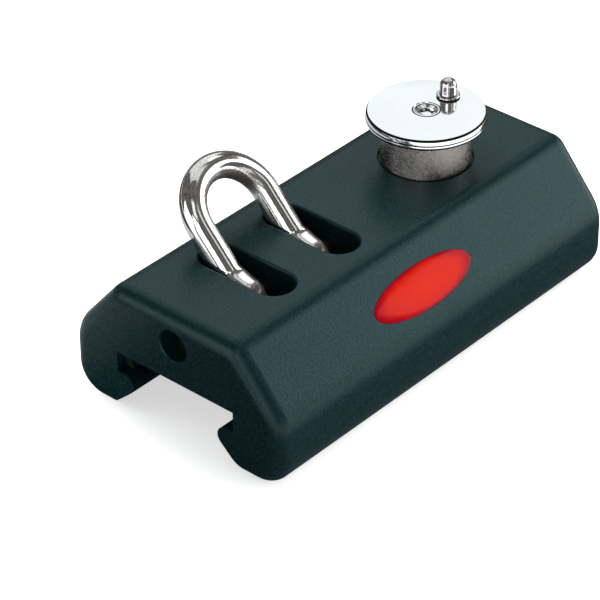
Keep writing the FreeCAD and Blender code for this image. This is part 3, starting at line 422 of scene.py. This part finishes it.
# a darker copy of the turned steel, as painted shade on the pivot pin in its slots
PIN_SHADE_TURNED = turned_finish("turned_steel_painted_shade", (0.05, 0.05, 0.048), (0.12, 0.12, 0.115))
# nearly black painted shade for the steps, nicks, gaps and feet of the turned pieces
PAINTED_SHADE = painted_shade_finish()
ACETAL = acetal_finish()
BADGE = badge_finish()
BY_SLOT = {
    "body": BODY,
    "polished_steel": POLISHED,
    "turned_steel": TURNED,
    "acetal": ACETAL,
    "badge": BADGE,
}
for part in frame["record"]["subparts"]:
    node = NODES[part["node"]]
    # the pivot pin gets the turned steel painted darker, as shade
    pin_in_shade = part["node"] == "pivot_pin"
    node.data.materials.clear()
    node.data.materials.append(PIN_SHADE_TURNED if pin_in_shade else BY_SLOT[part["material_slot"]])

# %% [markdown]
# ## Helpers for meshes
#
# `surface` turns a grid of points into a mesh: one row per step along the piece, one column per
# step round it. `finish_on` puts a finished piece where it belongs: on the CAD body that carries
# it and in place of the node that it stands for.


# %% Meshes
def surface(name, grid, sharp=radians(35)):
    """A mesh from a grid of points of shape (rows, columns, 3).

    Point (i, j) joins (i+1, j) and (i, j+1), and the last column meets the first. Points that
    fall together, as at a pole, become one, so such ends are closed.
    """
    rows, columns = grid.shape[:2]
    i, j = np.meshgrid(np.arange(rows - 1), np.arange(columns), indexing="ij")
    after = (j + 1) % columns
    corners = [i * columns + j, i * columns + after, (i + 1) * columns + after, (i + 1) * columns + j]
    mesh = bpy.data.meshes.new(name)
    mesh.from_pydata(grid.reshape(-1, 3), [], np.stack(corners, axis=-1).reshape(-1, 4).tolist())
    piece = in_scene(name, mesh)
    close_and_shade(mesh, sharp)
    return piece


def close_and_shade(mesh, sharp):
    """Merges doubled points, turns all faces outwards and shades smoothly up to an angle."""
    shape = bmesh.new()
    shape.from_mesh(mesh)
    bmesh.ops.remove_doubles(shape, verts=shape.verts, dist=1e-7)
    bmesh.ops.dissolve_degenerate(shape, edges=shape.edges, dist=1e-8)
    bmesh.ops.recalc_face_normals(shape, faces=shape.faces)
    shape.to_mesh(mesh)
    shape.free()
    mesh.polygons.foreach_set("use_smooth", np.ones(len(mesh.polygons), bool))
    mesh.set_sharp_from_angle(angle=sharp)
    print(f"{mesh.name}: {len(mesh.vertices)} points, {len(mesh.polygons)} faces")


def finish_on(piece, body, slot, materials, *replaced):
    """Puts a finished piece on its CAD body and in place of CAD nodes; the record slot is not used."""
    for material in materials:
        piece.data.materials.append(material)
    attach(piece, body)
    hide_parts(*replaced)


# %% [markdown]
# ## The loop
#
# A bar 6.5 mm thick is bent to a U, and its ends are forged into eyes for the pin. The loop is
# one surface: rings of points follow the path up one leg, round the bend and down the other leg.
# Along a leg the ring is a circle that spreads into the eye. On the upper side it stays straight
# and then breaks into the eye's flat facet at a crease, and on the underside it swells slowly by
# a taper. The eye's rings are squarer than the bar's.

# %% Half sizes of the loop's rings
BAR, BEND = 3.25 * MM, 10.9 * MM
EYE, EYE_HALF, EYE_RIM = 6.0 * MM, 3.1 * MM, 2.25 * MM
FACET = radians(31)
TAPER_HALF, TAPER_LONG = 2.85 * MM, 18 * MM
TAPER = asin((EYE - TAPER_HALF) / TAPER_LONG)
CREASE, SWELL = 0.25 * MM, 0.5 * MM
EYE_SQUARE, BAR_SQUARE = 3.4, 2.0
# heights above the pin at which each change begins and ends
BAR_GROWS, SIDES_MEET, SQUARE_FADES = (0, 4 * MM), (6 * MM, 9 * MM), (5.6 * MM, 7.6 * MM)


def smooth(x, low, high):
    """0 below low, 1 above high, and between them 3 u squared less 2 u cubed."""
    u = np.clip((x - low) / (high - low), 0, 1)
    return u * u * (3 - 2 * u)


def larger(one, other, blend):
    """The larger of two sizes, with their crossing rounded over the blend."""
    return 0.5 * (one + other + np.sqrt((one - other) ** 2 + blend**2))


def eye_flank(s, lean):
    """Half width of the eye at a height s above the pin.

    It is the root of radius squared less s squared up to where a line with the given lean touches
    the circle, and from there that line: the radius less s times sin(lean), all over cos(lean).
    """
    circle = np.sqrt(np.maximum(EYE**2 - s**2, 0))
    line = (EYE - s * sin(lean)) / cos(lean)
    return np.where(s < EYE * sin(lean), circle, np.maximum(line, 0))


def loop_rings(s):
    """Half sizes of the rings at heights s: along the pin, upper side, underside, squareness."""
    grown = smooth(s, *BAR_GROWS)
    upper = larger(eye_flank(s, FACET), BAR * grown, CREASE * grown)
    under = larger(eye_flank(s, TAPER), BAR * grown, SWELL * grown)
    from_tip = np.clip(s + EYE, 0, EYE_RIM)
    rounded = EYE_HALF - EYE_RIM + np.sqrt(EYE_RIM**2 - (EYE_RIM - from_tip) ** 2)
    spread = EYE_HALF + (BAR - EYE_HALF) * smooth(s, *SIDES_MEET)
    square = EYE_SQUARE + (BAR_SQUARE - EYE_SQUARE) * smooth(s, *SQUARE_FADES)
    return np.where(s > 0, spread, rounded), upper, under, square


# %% [markdown]
# The path is worked out upright over the pin. Then the whole grid is leaned over by the angle at
# which the loop lies in its slots.

# %% Loop
TIP_RINGS, LEG_RINGS, BEND_RINGS = 14, 76, 66


def loop_grid(columns=72):
    """Rings along the path; a ring's point at angle t is at signed powers 2/n of cos t and sin t.

    n is the squareness: 2 gives an ellipse, and more gives flatter sides.
    """
    tip = -EYE * np.cos(np.linspace(0, pi / 2, TIP_RINGS))
    leg = np.concatenate([tip, np.linspace(0.3 * MM, LEG, LEG_RINGS)])
    turn = np.linspace(0, pi, BEND_RINGS)[1:-1]
    s = np.concatenate([leg, np.full(turn.size, LEG), leg[::-1]])
    phi = np.concatenate([np.zeros(leg.size), turn, np.full(leg.size, pi)])
    outward = np.column_stack([-np.cos(phi), np.zeros(phi.size), np.sin(phi)])
    middle = np.column_stack([-BEND * np.cos(phi), np.zeros(phi.size), s + BEND * np.sin(phi)])
    along, upper, under, square = (np.asarray(size)[:, None] for size in loop_rings(s))
    t = np.linspace(0, 2 * pi, columns, endpoint=False)[None, :]
    c, d = np.cos(t), np.sin(t)
    out = along * np.sign(c) * np.abs(c) ** (2 / square)
    aside = np.where(d < 0, upper, under) * np.sign(d) * np.abs(d) ** (2 / square)
    return middle[:, None] + out[..., None] * outward[:, None] + aside[..., None] * np.array([0, 1, 0])


upright = loop_grid()
y, z = upright[..., 1].copy(), upright[..., 2].copy()
upright[..., 1] = y * cos(LEAN) + z * sin(LEAN)
upright[..., 2] = z * cos(LEAN) - y * sin(LEAN)
loop = surface("loop", upright + PIVOT, sharp=radians(50))

# %% [markdown]
# The bore is cut the way a drill cuts it: a cylinder along the pin is taken out of both eyes.

# %% Bore of the eyes
PIN_BORE, DRILL_REACH, DRILL_SIDES = 3.255 * MM, 16 * MM, 96

turn = np.linspace(0, 2 * pi, DRILL_SIDES, endpoint=False)
drill_x = np.array([-1, -1, 1, 1]) * DRILL_REACH
drill_radius = np.array([0, 1, 1, 0]) * PIN_BORE
drill_grid = PIVOT + np.stack(
    [
        np.outer(drill_x, np.ones(DRILL_SIDES)),
        np.outer(drill_radius, np.cos(turn)),
        np.outer(drill_radius, np.sin(turn)),
    ],
    axis=-1,
)
drill = surface("drill", drill_grid)
boring = loop.modifiers.new("bore", "BOOLEAN")
boring.operation = "DIFFERENCE"
boring.solver = "EXACT"
boring.object = drill
bored = bpy.data.meshes.new_from_object(loop.evaluated_get(bpy.context.evaluated_depsgraph_get()))
loop.modifiers.clear()
loop.data = bored
bpy.data.objects.remove(drill)
bored.set_sharp_from_angle(angle=radians(50))
bored.materials.clear()
finish_on(loop, "loop", "polished_steel", [FORGED_AND_SHADED], "bail")
print("loop after boring:", len(bored.polygons), "faces")

# %% [markdown]
# ## Turned shapes
#
# The knob and its stud come from a lathe. `lathe` turns a section round an upright axis, and
# `softened` rounds the section's corners first, as a turner breaks every edge.


# %% Turned shapes
def softened(corners, steps):
    """A section's points (radius, height), with each corner rounded.

    A corner is (radius, height, rounding). The arc leaves each edge at the rounding times the
    tangent of half the turn from the corner, and its points go evenly round the arc's centre.
    """
    points = []
    for number, (across, height, rounding) in enumerate(corners):
        here = np.array([across, height])
        if rounding == 0:
            points.append(here)
            continue
        before = unit(np.array(corners[number - 1][:2]) - here)
        after = unit(np.array(corners[(number + 1) % len(corners)][:2]) - here)
        half = np.arccos(np.clip(before @ after, -1, 1)) / 2
        centre = here + unit(before + after) * rounding / sin(half)
        start = here + before * rounding / np.tan(half) - centre
        end = here + after * rounding / np.tan(half) - centre
        first = atan2(start[1], start[0])
        turn = (atan2(end[1], end[0]) - first + pi) % (2 * pi) - pi
        angles = first + turn * np.linspace(0, 1, steps)
        points.extend(centre + rounding * np.column_stack([np.cos(angles), np.sin(angles)]))
    return np.array(points)


def lathe(name, section, middle, columns):
    """A section of (radius, height) turned round the upright axis through middle.

    A point at angle t is (radius cos t, radius sin t, height) from the axis.
    """
    t = np.linspace(0, 2 * pi, columns, endpoint=False)
    across, height = np.asarray(section).T
    grid = np.stack(
        [
            middle[0] + np.outer(across, np.cos(t)),
            middle[1] + np.outer(across, np.sin(t)),
            np.outer(height, np.ones(columns)),
        ],
        axis=-1,
    )
    return surface(name, grid)


# %% [markdown]
# ## The knob
#
# The knob is turned from one piece: a thin disc, a skirt that hides the plunger's bush, and a hub
# for the screw. The edge of its face slants down in a small step, and a fine nick runs round its
# rim. The section goes from the screw's seat outwards over the face, down the rim, under the disc
# and round the skirt and the hub.

# %% Knob
KNOB = (29.1 * MM, 0.0)
DISC_TOP, DISC_UNDER, DISC, WIDEST = 47.1 * MM, 44.35 * MM, 14.575 * MM, 45.0 * MM
STEP, STEP_SLANT, STEP_FOOT = 0.22 * MM, 0.32 * MM, 46.58 * MM
NICK_TOP, NICK_FOOT, NICK_DEEP = 45.72 * MM, 45.42 * MM, 0.30 * MM
SKIRT, SKIRT_INSIDE, SKIRT_FOOT = 10.95 * MM, 9.9 * MM, 33.7 * MM
HUB, HUB_FOOT, SHANK = 4.5 * MM, 42.4 * MM, 1.55 * MM
HEAD, HEAD_DEEP = 3.5 * MM, 1.95 * MM

knob_corners = [
    # the face and its slanted step
    (HEAD, DISC_TOP, 0),
    (DISC - STEP - STEP_SLANT, DISC_TOP, 0.04 * MM),
    (DISC - STEP, STEP_FOOT, 0.02 * MM),
    # the rim and its nick
    (DISC - 0.20 * MM, STEP_FOOT - 0.01 * MM, 0.04 * MM),
    (DISC - 0.06 * MM, NICK_TOP, 0.03 * MM),
    (DISC - NICK_DEEP, NICK_TOP, 0.02 * MM),
    (DISC - NICK_DEEP, NICK_FOOT, 0.02 * MM),
    (DISC - 0.06 * MM, NICK_FOOT, 0.03 * MM),
    (DISC, WIDEST, 0.5 * MM),
    (DISC - 0.30 * MM, DISC_UNDER, 0.2 * MM),
    # the skirt, outside and inside
    (SKIRT, DISC_UNDER, 0.25 * MM),
    (SKIRT, SKIRT_FOOT, 0.35 * MM),
    (SKIRT_INSIDE, SKIRT_FOOT, 0.15 * MM),
    (SKIRT_INSIDE, DISC_UNDER, 0.4 * MM),
    # the hub and the screw's bore
    (HUB, DISC_UNDER, 0.4 * MM),
    (HUB, HUB_FOOT, 0.2 * MM),
    (SHANK, HUB_FOOT, 0),
    (SHANK, DISC_TOP - HEAD_DEEP, 0),
]
section = softened(knob_corners, steps=7)
knob = lathe("turned_knob", np.vstack([section, section[:1]]), KNOB, columns=192)
finish_on(knob, "stop_plunger", "polished_steel", [POLISHED, TURNED, PAINTED_SHADE], "knob")

# %% [markdown]
# The disc is polished, and the skirt keeps the marks of the tool. The step, the nick and the
# underside of the rim get the painted shade, nearly black, where shade falls. A face's place
# decides on its material: its middle's distance from the knob's axis, and its height.

# %% Knob's finishes
RIM_DARK = 0.42 * MM


def distances_and_heights(piece, axis):
    """For each face, how far its middle is from an upright axis, and how high."""
    faces = piece.data.polygons
    centres = np.empty(len(faces) * 3)
    faces.foreach_get("center", centres)
    centres = centres.reshape(-1, 3)
    return np.hypot(centres[:, 0] - axis[0], centres[:, 1] - axis[1]), centres[:, 2]


across, height = distances_and_heights(knob, KNOB)
on_the_rim = (across > SKIRT + 2 * MM) & (across < DISC + MM)
outside_the_face = across > DISC - STEP - STEP_SLANT - 0.02 * MM
step = on_the_rim & outside_the_face & (height > STEP_FOOT + 0.01 * MM)
nick = on_the_rim & (height > NICK_FOOT - 0.02 * MM) & (height < NICK_TOP + 0.02 * MM)
below = on_the_rim & (height < DISC_UNDER + RIM_DARK)
turned = (height < DISC_UNDER + 0.05 * MM) & ~below
# the step, the nick and the faces under the rim get the nearly black painted shade
finish_numbers = np.select([step | nick | below, turned], [2, 1], 0)
knob.data.polygons.foreach_set("material_index", finish_numbers)
print("dark faces: step", int(step.sum()), "nick", int(nick.sum()), "below", int(below.sum()))

# %% [markdown]
# ## The knob's screw
#
# A countersunk screw holds the knob on the plunger's stem. Its rings are circles on the outside
# and turn into hexagons at the socket. A hexagon's radius at angle t is half its width across
# flats, divided by the cosine of the angle to the nearest flat's middle. Painted shade lies in the
# gap round its head, in a fine ring on it and round the socket's floor.

# %% Knob screw
SCREW_RINGS = [
    # radius and height in millimetres, and the share of the hexagon
    (0, 37.1, 0),
    (1.5, 37.1, 0),
    (1.5, 45.15, 0),
    (3.4, 46.9, 0),
    (3.22, 46.98, 0),
    (3.12, 47.1, 0),
    (2.85, 47.1, 0),
    (2.78, 46.98, 0),
    (2.62, 46.98, 0),
    (2.50, 47.04, 0),
    (1.62, 46.60, 1),
    (1.60, 46.05, 1),
    (1.50, 46.0, 1),
    (1.15, 46.0, 0.5),
    (0, 45.9, 0),
]


def screw_grid(rings, columns=120):
    """Rings of (radius, height, hexagon share); the share mixes a circle with a hexagon."""
    t = np.linspace(0, 2 * pi, columns, endpoint=False)
    to_flat = np.mod(t + pi / 6, pi / 3) - pi / 6
    radius, height, share = np.array(rings).T
    across = radius[:, None] * (1 - share[:, None] + share[:, None] / np.cos(to_flat)[None, :])
    return np.stack(
        [
            KNOB[0] + across * np.cos(t),
            KNOB[1] + across * np.sin(t),
            height[:, None] * np.ones(columns),
        ],
        axis=-1,
    )


rings = np.array(SCREW_RINGS) * (MM, MM, 1)
knob_screw = surface("socket_screw", screw_grid(rings), sharp=radians(30))
finish_on(knob_screw, "stop_plunger", "turned_steel", [POLISHED, PAINTED_SHADE], "knob_screw")
across, height = distances_and_heights(knob_screw, KNOB)
# painted shade, nearly black, in the gap round the head, in the ring on it and round the socket's
# floor
rim_gap = across > 3.14 * MM
ring = (across > 2.62 * MM) & (across < 2.84 * MM) & (height > 46.9 * MM)
floor_ring = (across > 1.35 * MM) & (across < 1.75 * MM) & (height < 46.2 * MM)
knob_screw.data.polygons.foreach_set("material_index", (rim_gap | ring | floor_ring).astype(int))

# %% [markdown]
# ## The finger stud
#
# A finger finds the knob's turn by this small pin: a collar, a neck and a domed crown.

# %% Finger stud
STUD = (37.3 * MM, 0.0)
STUD_CORNERS = [
    # radius, height and rounding in millimetres
    (0, 47.1, 0),
    (2.85, 47.1, 0.12),
    (2.85, 47.8, 0.3),
    (2.05, 47.8, 0.12),
    (2.0, 51.85, 1.55),
    (0, 51.85, 0),
]
stud_section = softened(np.array(STUD_CORNERS) * MM, steps=12)
stud = lathe("domed_stud", stud_section, STUD, columns=96)
finish_on(stud, "stop_plunger", "polished_steel", [SHADED_POLISHED, PAINTED_SHADE], "finger_stud")
# painted shade, nearly black, at the foot of the collar and the foot of the neck
across, height = distances_and_heights(stud, STUD)
collar_foot = (across > 2.6 * MM) & (height < 47.45 * MM)
neck_foot = (across < 2.3 * MM) & (height > 47.79 * MM) & (height < 48.0 * MM)
stud.data.polygons.foreach_set("material_index", (collar_foot | neck_foot).astype(int))

# %% [markdown]
# ## The badge
#
# Resin is poured on the oval until it stands up in a dome and stops at the edge by its own
# skin, so the dome is low in the middle and steep at the edge. It is bare.

# %% Badge
DOME_EDGE, DOME_RISE, DOME_POWER, SEAT_DEEP = 0.1 * MM, 0.6 * MM, 0.7, 0.6 * MM


def badge_grid(rows=40, columns=160):
    """Rings of the oval, at a share q of both half axes, and the dome's height over them.

    The height is that of the edge plus the rise times (1 - q squared) to a power. A last ring
    and a point close the badge down in its seat.
    """
    q = np.sin(np.linspace(0, pi / 2, rows))
    height = DOME_EDGE + DOME_RISE * (1 - q**2) ** DOME_POWER
    q = np.concatenate([q, [1.0, 0.0]])
    height = np.concatenate([height, [-SEAT_DEEP, -SEAT_DEEP]])
    t = np.linspace(0, 2 * pi, columns, endpoint=False)
    along = BADGE_LONG * np.outer(q, np.cos(t))
    down = BADGE_WIDE * np.outer(q, np.sin(t))
    flat = along[..., None] * ALONG + down[..., None] * DOWN
    return BADGE_MIDDLE + flat + height[:, None, None] * OUTWARD


dome = surface("badge_dome", badge_grid(), sharp=radians(60))
finish_on(dome, "car", "badge", [BADGE], "badge")

# %% [markdown]
# ## The spring
#
# The spring is hidden in the car's bore, between the guide's roof and the seat. When the knob is
# lifted, the seat pushes the coil together, so the spring can't stay as long as it is at rest:
# what is left of its length at the top of the lift is its length at rest less the travel. Its
# shape is right already: a copy of the solid's mesh takes its place, with the points that its
# triangles share merged, and the copy keeps its length at rest.


def merged_copy(name, node):
    """A new object with the node's mesh, in which points at the same place are one."""
    mesh = node.data.copy()
    mesh.transform(node.matrix_world)
    shape = bmesh.new()
    shape.from_mesh(mesh)
    bmesh.ops.remove_doubles(shape, verts=shape.verts, dist=1e-6)
    shape.to_mesh(mesh)
    shape.free()
    mesh.materials.clear()
    return in_scene(name, mesh)


coil = merged_copy("coil_spring", NODES["plunger_spring"])
finish_on(coil, "car", "turned_steel", [TURNED], "plunger_spring")
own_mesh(coil)

# %% [markdown]
# ## The studio
#
# Plain background white comes from the world and the floor, and only for the rays that ask for a
# background: those from the camera, from a reflection or through glass. All other rays get a
# plain fill. The floor is paper that keeps the car's shadow.

# %% Background and floor
scene.view_settings.view_transform = "Standard"
STUDIO_RADIUS = 3.0


def seen_as_background(board):
    """1 for rays from the camera, from a reflection or through glass, and 0 for the rest."""
    path = board.add("LightPath").node.outputs
    mirror = board.math("MAXIMUM", path["Is Glossy Ray"], path["Is Transmission Ray"])
    return board.math("MAXIMUM", path["Is Camera Ray"], mirror)


def studio_world():
    """A world that is white as a background and a weaker, cooler fill as a light."""
    world = bpy.data.worlds.new("studio")
    scene.world = world
    board = Board(world)
    white = board.add("Background", {"Color": (1, 1, 1, 1), "Strength": 1.0})
    fill = board.add("Background", {"Color": (0.95, 0.98, 1, 1), "Strength": 0.36})
    mix = board.add("MixShader", {0: seen_as_background(board), 1: fill, 2: white})
    board.add("OutputWorld", {"Surface": mix})


def flat_disc(name, radius, height, middle=(0, 0), sides=64):
    """One round face; its rim's point at angle t is (radius cos t, radius sin t) from the middle."""
    turn = np.linspace(0, 2 * pi, sides, endpoint=False)
    rim_x = middle[0] + radius * np.cos(turn)
    rim_y = middle[1] + radius * np.sin(turn)
    mesh = bpy.data.meshes.new(name)
    mesh.from_pydata(np.column_stack([rim_x, rim_y, np.full(sides, height)]), [], [list(range(sides))])
    piece = in_scene(name, mesh)
    return piece


def floor():
    """Paper that glows for the rays that see it as a background."""
    piece = flat_disc("floor", STUDIO_RADIUS, height=-0.0002)
    material, board = new_material("pale_floor")
    paper = board.add("BsdfDiffuse", {"Color": (0.9, 0.9, 0.9, 1)})
    glow = board.add("Emission", {"Color": (1, 1, 1, 1), "Strength": 0.6})
    both = board.add("AddShader", {0: paper, 1: glow})
    mix = board.add("MixShader", {0: seen_as_background(board), 1: paper, 2: both})
    board.add("OutputMaterial", {"Surface": mix})
    piece.data.materials.append(material)


studio_world()
floor()

# %% [markdown]
# ## What the metal reflects
#
# Polished steel has hardly a colour of its own: it looks like what stands round it. What follows
# is there for reflections alone. A black cloth behind the car gives the polished pieces their
# dark outlines, because at its edge a round bar mirrors what lies beyond it. A patch of dark
# velvet under the car keeps the low sides of the body deep. On it, a grey card along each long
# side of the car turns paler away from the car, and the near one ends in a white edge.

# %% Cloth and velvet
CLOTH_RADIUS, CLOTH_DISTANCE, CLOTH_AZIMUTH, CLOTH_GLOW = 0.45, 0.42, 20, 0.03
VELVET_RADIUS = 0.125
GAP_TONE = (1.0, 0.94, 0.90, 1)
# two distances across the car, and the glow at each
FAR_CARD = (30 * MM, 55 * MM, 0.0, 0.70)
NEAR_CARD = (-20 * MM, -34 * MM, 0.02, 0.17)
WHITE_EDGE = (-56 * MM, -80 * MM, 0.0, 1.2)


def direction(azimuth, elevation):
    """Unit vector that points away from the car; azimuth 0 is +Y and 90 is +X."""
    a, e = radians(azimuth), radians(elevation)
    return np.array([sin(a) * cos(e), cos(a) * cos(e), sin(e)])


def glow_in_reflections(piece, material):
    """Gives a stage piece its material, and leaves it to reflections alone."""
    piece.data.materials.append(material)
    piece.visible_camera = False
    piece.visible_diffuse = False
    piece.visible_shadow = False
    piece.visible_transmission = False
    piece.visible_volume_scatter = False


def back_cloth():
    """A nearly black disc that lies behind the car."""
    middle = CLOTH_DISTANCE * direction(CLOTH_AZIMUTH, 0)
    piece = flat_disc("back_cloth", CLOTH_RADIUS, height=-0.00015, middle=middle[:2])
    material, board = new_material("black_cloth")
    glow = board.add("Emission", {"Color": GAP_TONE, "Strength": CLOTH_GLOW})
    board.add("OutputMaterial", {"Surface": glow})
    glow_in_reflections(piece, material)


def velvet():
    """A dark disc under the car, whose glow is the sum of its cards'."""
    piece = flat_disc("velvet", VELVET_RADIUS, height=-0.0001)
    material, board = new_material("black_velvet")
    across = board.dot(board.place(), (0, 1, 0))
    cards = [board.between(across, *card) for card in (FAR_CARD, NEAR_CARD, WHITE_EDGE)]
    strength = board.math("ADD", board.math("ADD", cards[0], cards[1]), cards[2])
    glow = board.add("Emission", {"Color": (0.9, 0.95, 1, 1), "Strength": strength})
    board.add("OutputMaterial", {"Surface": glow})
    glow_in_reflections(piece, material)


back_cloth()
velvet()

# %% [markdown]
# A light tent stands over it all and carries the soft boxes as bright windows, with dark gaps
# between them. A window is a smooth mask. The direction of a point of the tent is multiplied with
# the window's own level and upright axes, and each product is compared with the sine of the
# window's half size.

# %% Windows
WINDOWS = [
    # azimuth and elevation of the middle, half width and half height in degrees, strength, softness
    (49, 35, 9, 9.5, 0.99, 0.12),
    (34.5, 44, 22.5, 23, 0.76, 0.12),
    (75, 50, 8, 7, 1.60, 0.30),
    (60, 76, 24, 9, 0.70, 0.25),
    (122, 10, 21, 25, 3.0, 0.10),
    (172, 43, 6, 14, 0.75, 0.40),
    (-68, 12, 22, 19, 2.3, 0.08),
    (-113, 17, 13, 24, 2.3, 0.08),
    (-125, 58, 9, 11, 1.10, 0.20),
    (-140, 6, 4, 20, 1.60, 0.30),
    (-178, 6, 9, 14, 0.85, 0.30),
]


def window_mask(board, aim, azimuth, elevation, half_wide, half_high, softness):
    """1 inside the window and 0 outside, with a soft edge."""
    middle = direction(azimuth, elevation)
    across = unit(np.cross([0, 0, 1], middle))
    above = np.cross(middle, across)
    mask = board.math("GREATER_THAN", board.dot(aim, middle), 0.0)
    for axis, half in ((across, half_wide), (above, half_high)):
        reach = sin(radians(half))
        edge = board.add(
            "MapRange",
            {
                "Value": board.add("Math", {0: board.dot(aim, axis)}, operation="ABSOLUTE"),
                "From Min": reach * (1 + softness),
                "From Max": reach * (1 - softness),
                "To Min": 0,
                "To Max": 1,
            },
            interpolation_type="SMOOTHSTEP",
        )
        mask = board.math("MULTIPLY", mask, edge)
    return mask


# %% [markdown]
# The tent itself is half a ball of white cloth, 3 m in radius. It glows where a window is, and
# between the windows its folds are darker and lighter shades of a warm grey.

# %% Tent
GAP_DARK, GAP_LIGHT = 0.055, 0.16


def tent_grid(columns=48, rows=25):
    """Half a ball; a point at turn t and rise r is (cos r cos t, cos r sin t, sin r) radii away."""
    turn = np.linspace(0, 2 * pi, columns, endpoint=False)
    rise = np.linspace(0, pi / 2, rows)
    return STUDIO_RADIUS * np.stack(
        [
            np.outer(np.cos(rise), np.cos(turn)),
            np.outer(np.cos(rise), np.sin(turn)),
            np.outer(np.sin(rise), np.ones(columns)),
        ],
        axis=-1,
    )


def tent():
    """The half ball with its windows; where windows overlap, the brighter one counts."""
    piece = surface("light_tent", tent_grid())
    material, board = new_material("light_tent")
    aim = board.add("VectorMath", {0: board.place()}, operation="NORMALIZE")
    total = None
    for azimuth, elevation, half_wide, half_high, strength, softness in WINDOWS:
        mask = window_mask(board, aim, azimuth, elevation, half_wide, half_high, softness)
        lit = board.math("MULTIPLY", mask, strength)
        total = lit if total is None else board.math("MAXIMUM", total, lit)
    windows = board.add("Emission", {"Color": (0.94, 0.99, 1, 1), "Strength": total})
    folds = board.add("TexNoise", {"Vector": aim, "Scale": 7, "Detail": 3})
    gap_glow = board.between(folds, 0.35, 0.65, GAP_DARK, GAP_LIGHT)
    gaps = board.add("Emission", {"Color": GAP_TONE, "Strength": gap_glow})
    board.add("OutputMaterial", {"Surface": board.add("AddShader", {0: windows, 1: gaps})})
    glow_in_reflections(piece, material)


tent()
print("windows in the tent:", len(WINDOWS))

# %% [markdown]
# ## The lamps
#
# Two square lamps light the dull surfaces from the right, one high and one low, and a third
# from above and behind. A small one stands close to the far corner of the near end face, so that
# its light falls off across that face. All are left out of the reflections, because the tent's
# windows stand for them there.

# %% Lamps
LAMPS = [
    # name, azimuth and elevation in degrees, size and distance in metres, power in watts
    ("key", 130, 45, 0.5, 0.8, 2.0),
    ("low", 155, 12, 0.6, 0.8, 5.4),
    ("near", -47, 10, 0.05, 0.11, 0.03),
    ("top", 20, 50, 0.5, 0.8, 6.0),
]


def lamp(name, azimuth, elevation, size, distance, power):
    """A square lamp that faces the origin; a lamp shines along its own -Z."""
    light = bpy.data.lights.new(name, "AREA")
    light.shape = "SQUARE"
    light.size = size
    light.energy = power
    made = in_scene(name, light)
    away = direction(azimuth, elevation)
    side = unit(np.cross([0, 0, 1], away))
    stand(made, side, np.cross(away, side), away, away * distance)
    made.visible_glossy = False
    made.visible_camera = False


for row in LAMPS:
    lamp(*row)
print("lamps:", len(LAMPS))
